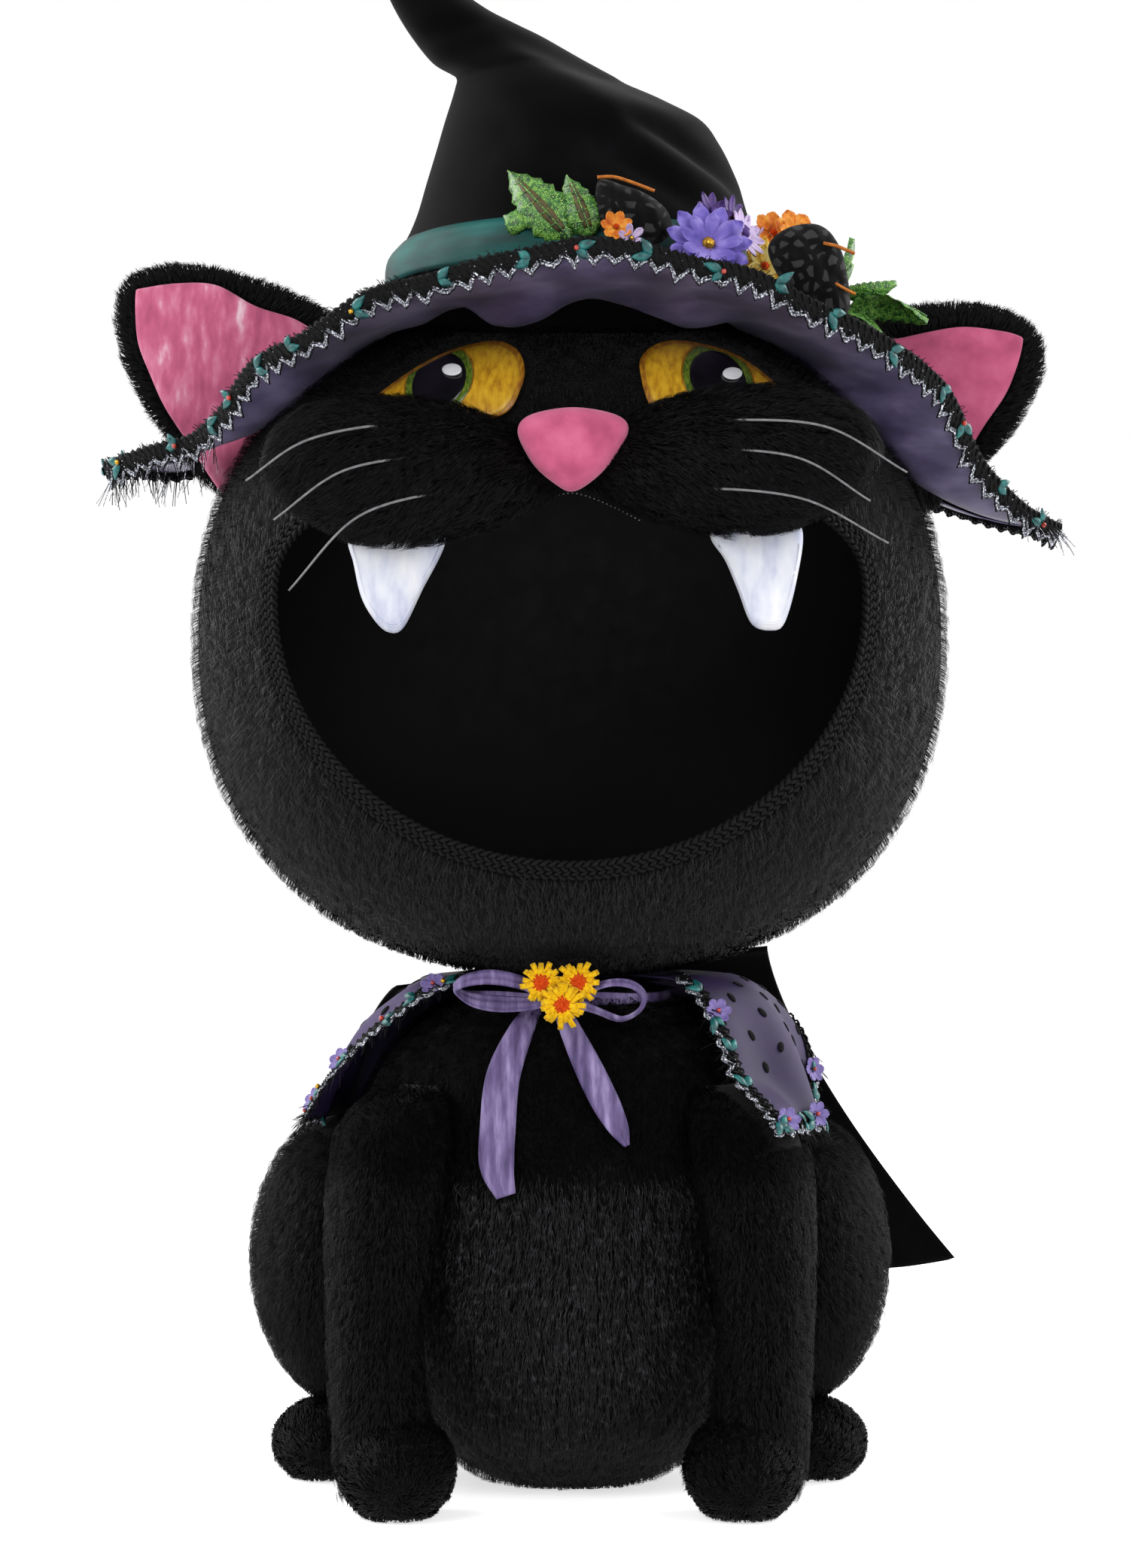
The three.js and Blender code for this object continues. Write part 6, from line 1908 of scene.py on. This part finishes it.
for hand, side in SIDES.items():
    grid, normal = capelets[hand]
    widths = np.linalg.norm(np.diff(grid[14], axis=0), axis=1).sum()
    drop = np.linalg.norm(np.diff(grid[:, 45], axis=0), axis=1).sum()
    sewn(f"capelet_satin_{side}", cloth(grid, 1.0), "body", "satin_purple", satin_purple, f"capelet_{side}",
         flat=(round(widths * MM, 3), round(drop * MM, 3)), held="draped",
         rests_on=("plush_torso", "back_cape_velvet"))
    dots = Heap()
    random = np.random.default_rng(60 + hand)
    for row in range(DOT_ROWS):
        for column in range(DOT_COLUMNS):
            level = (row + 0.3 + 0.5 * (column % 2)) / 3.6 * 0.8 + 0.1 + random.uniform(-0.03, 0.03)
            share = (column + 0.5 + random.uniform(-0.2, 0.2)) / DOT_COLUMNS
            i, j = int(level * 27), int(share * 89)
            if i > 23 or j < 5 or j > 84:
                continue
            place, face = grid[i, j], normal[i, j]
            down = unit(grid[min(i + 1, 27), j] - grid[i - 1, j])
            across = unit(np.cross(down, face))
            tilt = random.uniform(-0.7, 0.7)
            long = down * math.cos(tilt) + across * math.sin(tilt)
            wide = np.cross(face, long)
            dots.add(placed(ball((0, 0, 0), DOT_HALF, 10, 6), place + face * 0.2, wide, long, face))
    dots.make(f"capelet_dots_{side}", "body", "velvet_black", [flock_black])
    hem = Heap()
    if grid[14, 0, 1] >= grid[14, -1, 1]:
        grid, normal = grid[:, ::-1], normal[:, ::-1]
    joined = along_path(np.concatenate([edge_run(grid, 0), edge_run(grid, 5), edge_run(normal, 0)], 1), 330)
    # the edging ends where the cape covers it
    joined = joined[:np.flatnonzero(joined[:, 1] < LACE_END)[-1]]
    ahead = unit(np.gradient(joined[:, :3], axis=0))
    face = unit(joined[:, 6:9] - ahead * (joined[:, 6:9] * ahead).sum(-1, keepdims=True))
    inward = joined[:, 3:6] - joined[:, :3]
    inward = np.cross(face, ahead) * np.sign((np.cross(face, ahead) * inward).sum(-1, keepdims=True))
    lace(hem, joined[:, :3], inward, face, 70 + hand, width=7, silver_at=-1.5, points=2.6, tooth=9.0,
         leaf_every=24)
    random = np.random.default_rng(75 + hand)
    picked = random.integers(len(joined) // 12, len(joined) - 2, CAPELET_THREADS)
    threads(hem, joined[picked, :3], -inward[picked] + face[picked] * 0.4,
            random.uniform(5, 12, CAPELET_THREADS), 0.4, 76 + hand, 0)
    for share in (0.1, 0.45, 0.62, 0.8):
        index = int(share * len(joined))
        centre = joined[index, :3] + inward[index] * 5 + face[index] * 2.5
        blossom(hem, centre, face[index] + [0, -0.5, 0], 7.5, 6, (4, 3), 0.2, 5)
    hem.make(f"capelet_lace_{side}", "body", "braid_black", LACE_LOOKS)

sewn("back_cape_velvet", cloth(cape_grid[:, ::-1], 1.6), "body", "velvet_black", velvet_black, "back_cape",
     flat=(0.36, 0.215), held="hung", rests_on=("plush_torso",))

RIBBON_Z = 289
x = np.linspace(-62, 60, 60)
z = RIBBON_Z + 0.6 * np.sin(x / 9)
y = chest_y(x, RIBBON_Z) - 3.5
strip = np.stack([np.stack([x, y - 0.4 * k, z + 4.4 * k], -1) for k in np.linspace(1, -1, 5)])
sewn("neck_ribbon_satin", cloth(strip, 0.7), "body", "satin_lavender", satin_lavender, "neck_ribbon",
     flat=(0.13, 0.01), held="stretched", rests_on=("plush_torso",))


def ribbon_strip(points, widths, depths, steps, twist):
    """A ribbon along points of the photograph, at the given depths, with creases along it."""
    line = np.array([[*spot(a, b, d), d] for (a, b), d in zip(points, depths)])[:, [0, 2, 1]]
    line = along_path(np.concatenate([line, np.array(widths)[:, None]], 1), steps)
    path, width = line[:, :3], line[:, 3:4] * PIXEL
    ahead = unit(np.gradient(path, axis=0))
    side = unit(np.cross(ahead, along_path(twist, steps)))
    face = np.cross(side, ahead)
    grid = []
    for share in np.linspace(-1, 1, 9):
        fold = 0.8 * (math.cos(share * 7.0) + 0.6 * math.cos(share * 13 + 1))
        grid.append(path + side * width / 2 * share - face * fold)
    return cloth(np.array(grid).transpose(1, 0, 2), 0.8)


# each tail: its line, its widths, the line on the chest whose depth it follows, and its flat size
BOW_TAILS = {
    "left": (
        [(712, 1338), (690, 1375), (668, 1432), (661, 1500), (660, 1550), (672, 1590)],
        [22, 34, 44, 46, 44, 26],
        [(700, 1340), (690, 1380), (670, 1430), (660, 1500), (665, 1560), (672, 1586)], (0.02, 0.118),
    ),
    "right": (
        [(742, 1335), (762, 1378), (782, 1420), (804, 1465), (822, 1500), (833, 1523)],
        [20, 30, 36, 36, 26, 8],
        [(745, 1345), (762, 1380), (782, 1420), (803, 1470), (822, 1505), (832, 1522)], (0.0155, 0.098),
    ),
}
for side, (points, widths, chest, flat) in BOW_TAILS.items():
    depths = [chest_y(*spot(a, b, -100)) - 8.5 for a, b in chest]
    facing = np.tile([0.0, -1.0, 0.0], (len(points), 1))
    sewn(f"bow_tail_satin_{side}", ribbon_strip(points, widths, depths, 60, facing), "body", "satin_lavender",
         satin_lavender, f"bow_tail_{side}", flat=flat, held="hung", rests_on=("plush_torso",))

# each loop: its line, its widths, its depths, and which way it faces
BOW_LOOPS = {
    "left": (
        [(728, 1322), (690, 1305), (650, 1298), (616, 1303), (603, 1314), (622, 1328), (660, 1334),
         (700, 1334), (728, 1330)],
        [14, 18, 20, 18, 16, 18, 22, 18, 14], [-92, -95, -96, -93, -86, -80, -78, -80, -86],
        [[0, -1, 0.15], [0, -1, 0.2], [0, -1, 0.3], [-0.5, -0.8, 0.3], [-1, -0.2, 0.1], [-0.5, 0.8, 0],
         [0, 1, 0.1], [0, 1, 0.1], [0, 1, 0.1]],
    ),
    "right": (
        [(752, 1330), (785, 1312), (815, 1304), (842, 1308), (857, 1324), (850, 1344), (825, 1356),
         (795, 1346), (760, 1332)],
        [14, 18, 18, 17, 16, 18, 20, 18, 14], [-90, -94, -95, -92, -86, -80, -78, -80, -86],
        [[0, -1, 0.3], [0, -0.9, 0.6], [0, -0.6, 1], [0.5, -0.4, 0.9], [1, -0.3, 0.1], [0.7, -0.3, -0.8],
         [0, -0.4, -1], [-0.3, -0.6, -0.8], [0, -1, -0.3]],
    ),
}
for side, (points, widths, depths, twist) in BOW_LOOPS.items():
    sewn(f"bow_loop_satin_{side}", ribbon_strip(points, widths, depths, 90, np.array(twist)), "body",
         "satin_lavender", satin_lavender, f"bow_loop_{side}", flat=(0.01, 0.12), held="folded",
         rests_on=("neck_ribbon_satin",))

# each daisy: its point of the photograph, depth, radius and petals
DAISIES = [(719, 1307, -100, 12.5, 13), (768, 1306, -100, 12.5, 13), (747, 1334, -106, 14, 15)]
for index, (across, down, depth, radius, petals) in enumerate(DAISIES, 1):
    daisy = Heap()
    x, z = spot(across, down, depth)
    centre = np.array([x, depth, z])
    face = unit([x * 0.004, -1, 0.05 if index < 3 else -0.1])
    up = unit(np.array([0, 0, 1.0]) - face * face[2])
    side = np.cross(up, face)
    random = np.random.default_rng(40 + index)
    for layer, (share, height) in enumerate(((1.0, 1.0), (0.78, 2.6))):
        for step in range(petals):
            angle = (step + 0.5 * layer) / petals * math.tau + index + random.uniform(-0.12, 0.12)
            out = side * math.cos(angle) + up * math.sin(angle)
            away = np.cross(face, out)
            reach = radius * share * random.uniform(0.86, 1.1)
            t = np.linspace(0, 1, 7)[:, None]
            arc = height + random.uniform(1.8, 3.4) * np.sin(math.pi * t ** 0.8) - 1.5 * t
            spine = centre + out * (2 + (reach - 2) * t) + face * arc
            spine = spine + away * random.uniform(-1.2, 1.2) * t ** 2
            half = 1.35 * np.sin(np.clip(t * 0.8 + 0.25, 0, 1) * math.pi / 2)
            grid = np.stack([spine + away * half * u + face * 0.5 * abs(u) for u in (-1, 0, 1)], 1)
            daisy.add(cloth(grid[:, ::-1], 1.2), 0)
    for step in range(12):
        angle = step / 12 * math.tau
        out = side * math.cos(angle) + up * math.sin(angle)
        t = np.linspace(0, math.pi, 7)[:, None]
        arch = centre + out * (1.0 + 2.2 * (1 - np.cos(t))) + face * (2.2 + 2.6 * np.sin(t))
        daisy.add(tube(arch, 0.95, 6, guide=tuple(np.cross(out, face))), 1)
    daisy.add(ball(centre + face * 2.6, (2.6, 2.6, 2.6)), 1)
    made = daisy.make(f"bow_daisy_felt_{index}", "body", "felt_yellow", [felt_yellow, felt_orange])
    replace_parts(made, f"bow_daisy_{index}")

# Camera, floor and light

camera_data = bpy.data.cameras.new("camera")
camera_data.lens = CAMERA_LENS
camera_data.sensor_width = CAMERA_SENSOR
camera = bpy.data.objects.new("camera", camera_data)
camera.location = (CAMERA_SIDE * MM, -CAMERA_DISTANCE * MM, CAMERA_HEIGHT * MM)
camera.rotation_euler = (math.radians(90), 0, 0)
bpy.context.scene.collection.objects.link(camera)
bpy.context.scene.camera = camera

WHITE = (1, 1, 1, 1)


def seen_rays(tree):
    """Is 1 for what the camera, a mirror or clear matter sees."""
    path = tree.nodes.new("ShaderNodeLightPath")
    total = path.outputs["Is Camera Ray"]
    for name in ("Is Glossy Ray", "Is Transmission Ray"):
        plus = tree.nodes.new("ShaderNodeMath")
        plus.operation = "ADD"
        plus.use_clamp = True
        tree.links.new(total, plus.inputs[0])
        tree.links.new(path.outputs[name], plus.inputs[1])
        total = plus.outputs["Value"]
    return total


WORLD_GREY = 0.42
world = bpy.data.worlds.new("world")
bpy.context.scene.world = world
world.use_nodes = True
tree = world.node_tree
background = tree.nodes["Background"]
background.inputs["Color"].default_value = (WORLD_GREY, WORLD_GREY, WORLD_GREY, 1)
white = tree.nodes.new("ShaderNodeBackground")
white.inputs["Color"].default_value = WHITE
mix = tree.nodes.new("ShaderNodeMixShader")
tree.links.new(seen_rays(tree), mix.inputs["Fac"])
tree.links.new(background.outputs["Background"], mix.inputs[1])
tree.links.new(white.outputs["Background"], mix.inputs[2])
tree.links.new(mix.outputs["Shader"], tree.nodes["World Output"].inputs["Surface"])

FLOOR_HALF = 6.0
floor_mesh = bpy.data.meshes.new("floor")
floor_corners = [(x * FLOOR_HALF, y * FLOOR_HALF, 0) for x, y in ((-1, -1), (1, -1), (1, 1), (-1, 1))]
floor_mesh.from_pydata(floor_corners, [], [(0, 1, 2, 3)])
floor = bpy.data.objects.new("floor", floor_mesh)
bpy.context.scene.collection.objects.link(floor)
floor_look = bpy.data.materials.new("floor")
floor_look.use_nodes = True
tree = floor_look.node_tree
floor_shader = tree.nodes["Principled BSDF"]
floor_shader.inputs["Base Color"].default_value = (0.86, 0.86, 0.86, 1)
floor_shader.inputs["Roughness"].default_value = 0.9
glow = tree.nodes.new("ShaderNodeEmission")
glow.inputs["Color"].default_value = WHITE
glow.inputs["Strength"].default_value = 0.66
both = tree.nodes.new("ShaderNodeAddShader")
lit = tree.nodes.new("ShaderNodeMixShader")
tree.links.new(seen_rays(tree), lit.inputs["Fac"])
tree.links.new(floor_shader.outputs["BSDF"], both.inputs[0])
tree.links.new(glow.outputs["Emission"], both.inputs[1])
tree.links.new(floor_shader.outputs["BSDF"], lit.inputs[1])
tree.links.new(both.outputs["Shader"], lit.inputs[2])
tree.links.new(lit.outputs["Shader"], tree.nodes["Material Output"].inputs["Surface"])
floor_mesh.materials.append(floor_look)

# where each soft lamp stands, how wide it is in metres, and its power in watts
LAMPS = [
    ((-1.5, -2.3, 2.0), 1.6, 40),
    ((1.8, -2.0, 1.3), 1.6, 22),
    ((-1.8, 0.7, 1.5), 1.2, 36),
    ((1.9, 0.8, 1.4), 1.2, 36),
]
AIM = (0, 0, 0.45)
for number, (place, width, power) in enumerate(LAMPS, 1):
    lamp_data = bpy.data.lights.new(f"lamp_{number}", "AREA")
    lamp_data.size = width
    lamp_data.energy = power
    lamp = bpy.data.objects.new(f"lamp_{number}", lamp_data)
    lamp.location = place
    away = [p - a for p, a in zip(place, AIM)]
    level = math.hypot(away[0], away[1])
    lamp.rotation_euler = (math.atan2(level, away[2]), 0, math.atan2(away[1], away[0]) + math.radians(90))
    bpy.context.scene.collection.objects.link(lamp)

bpy.context.scene.view_settings.view_transform = "Standard"
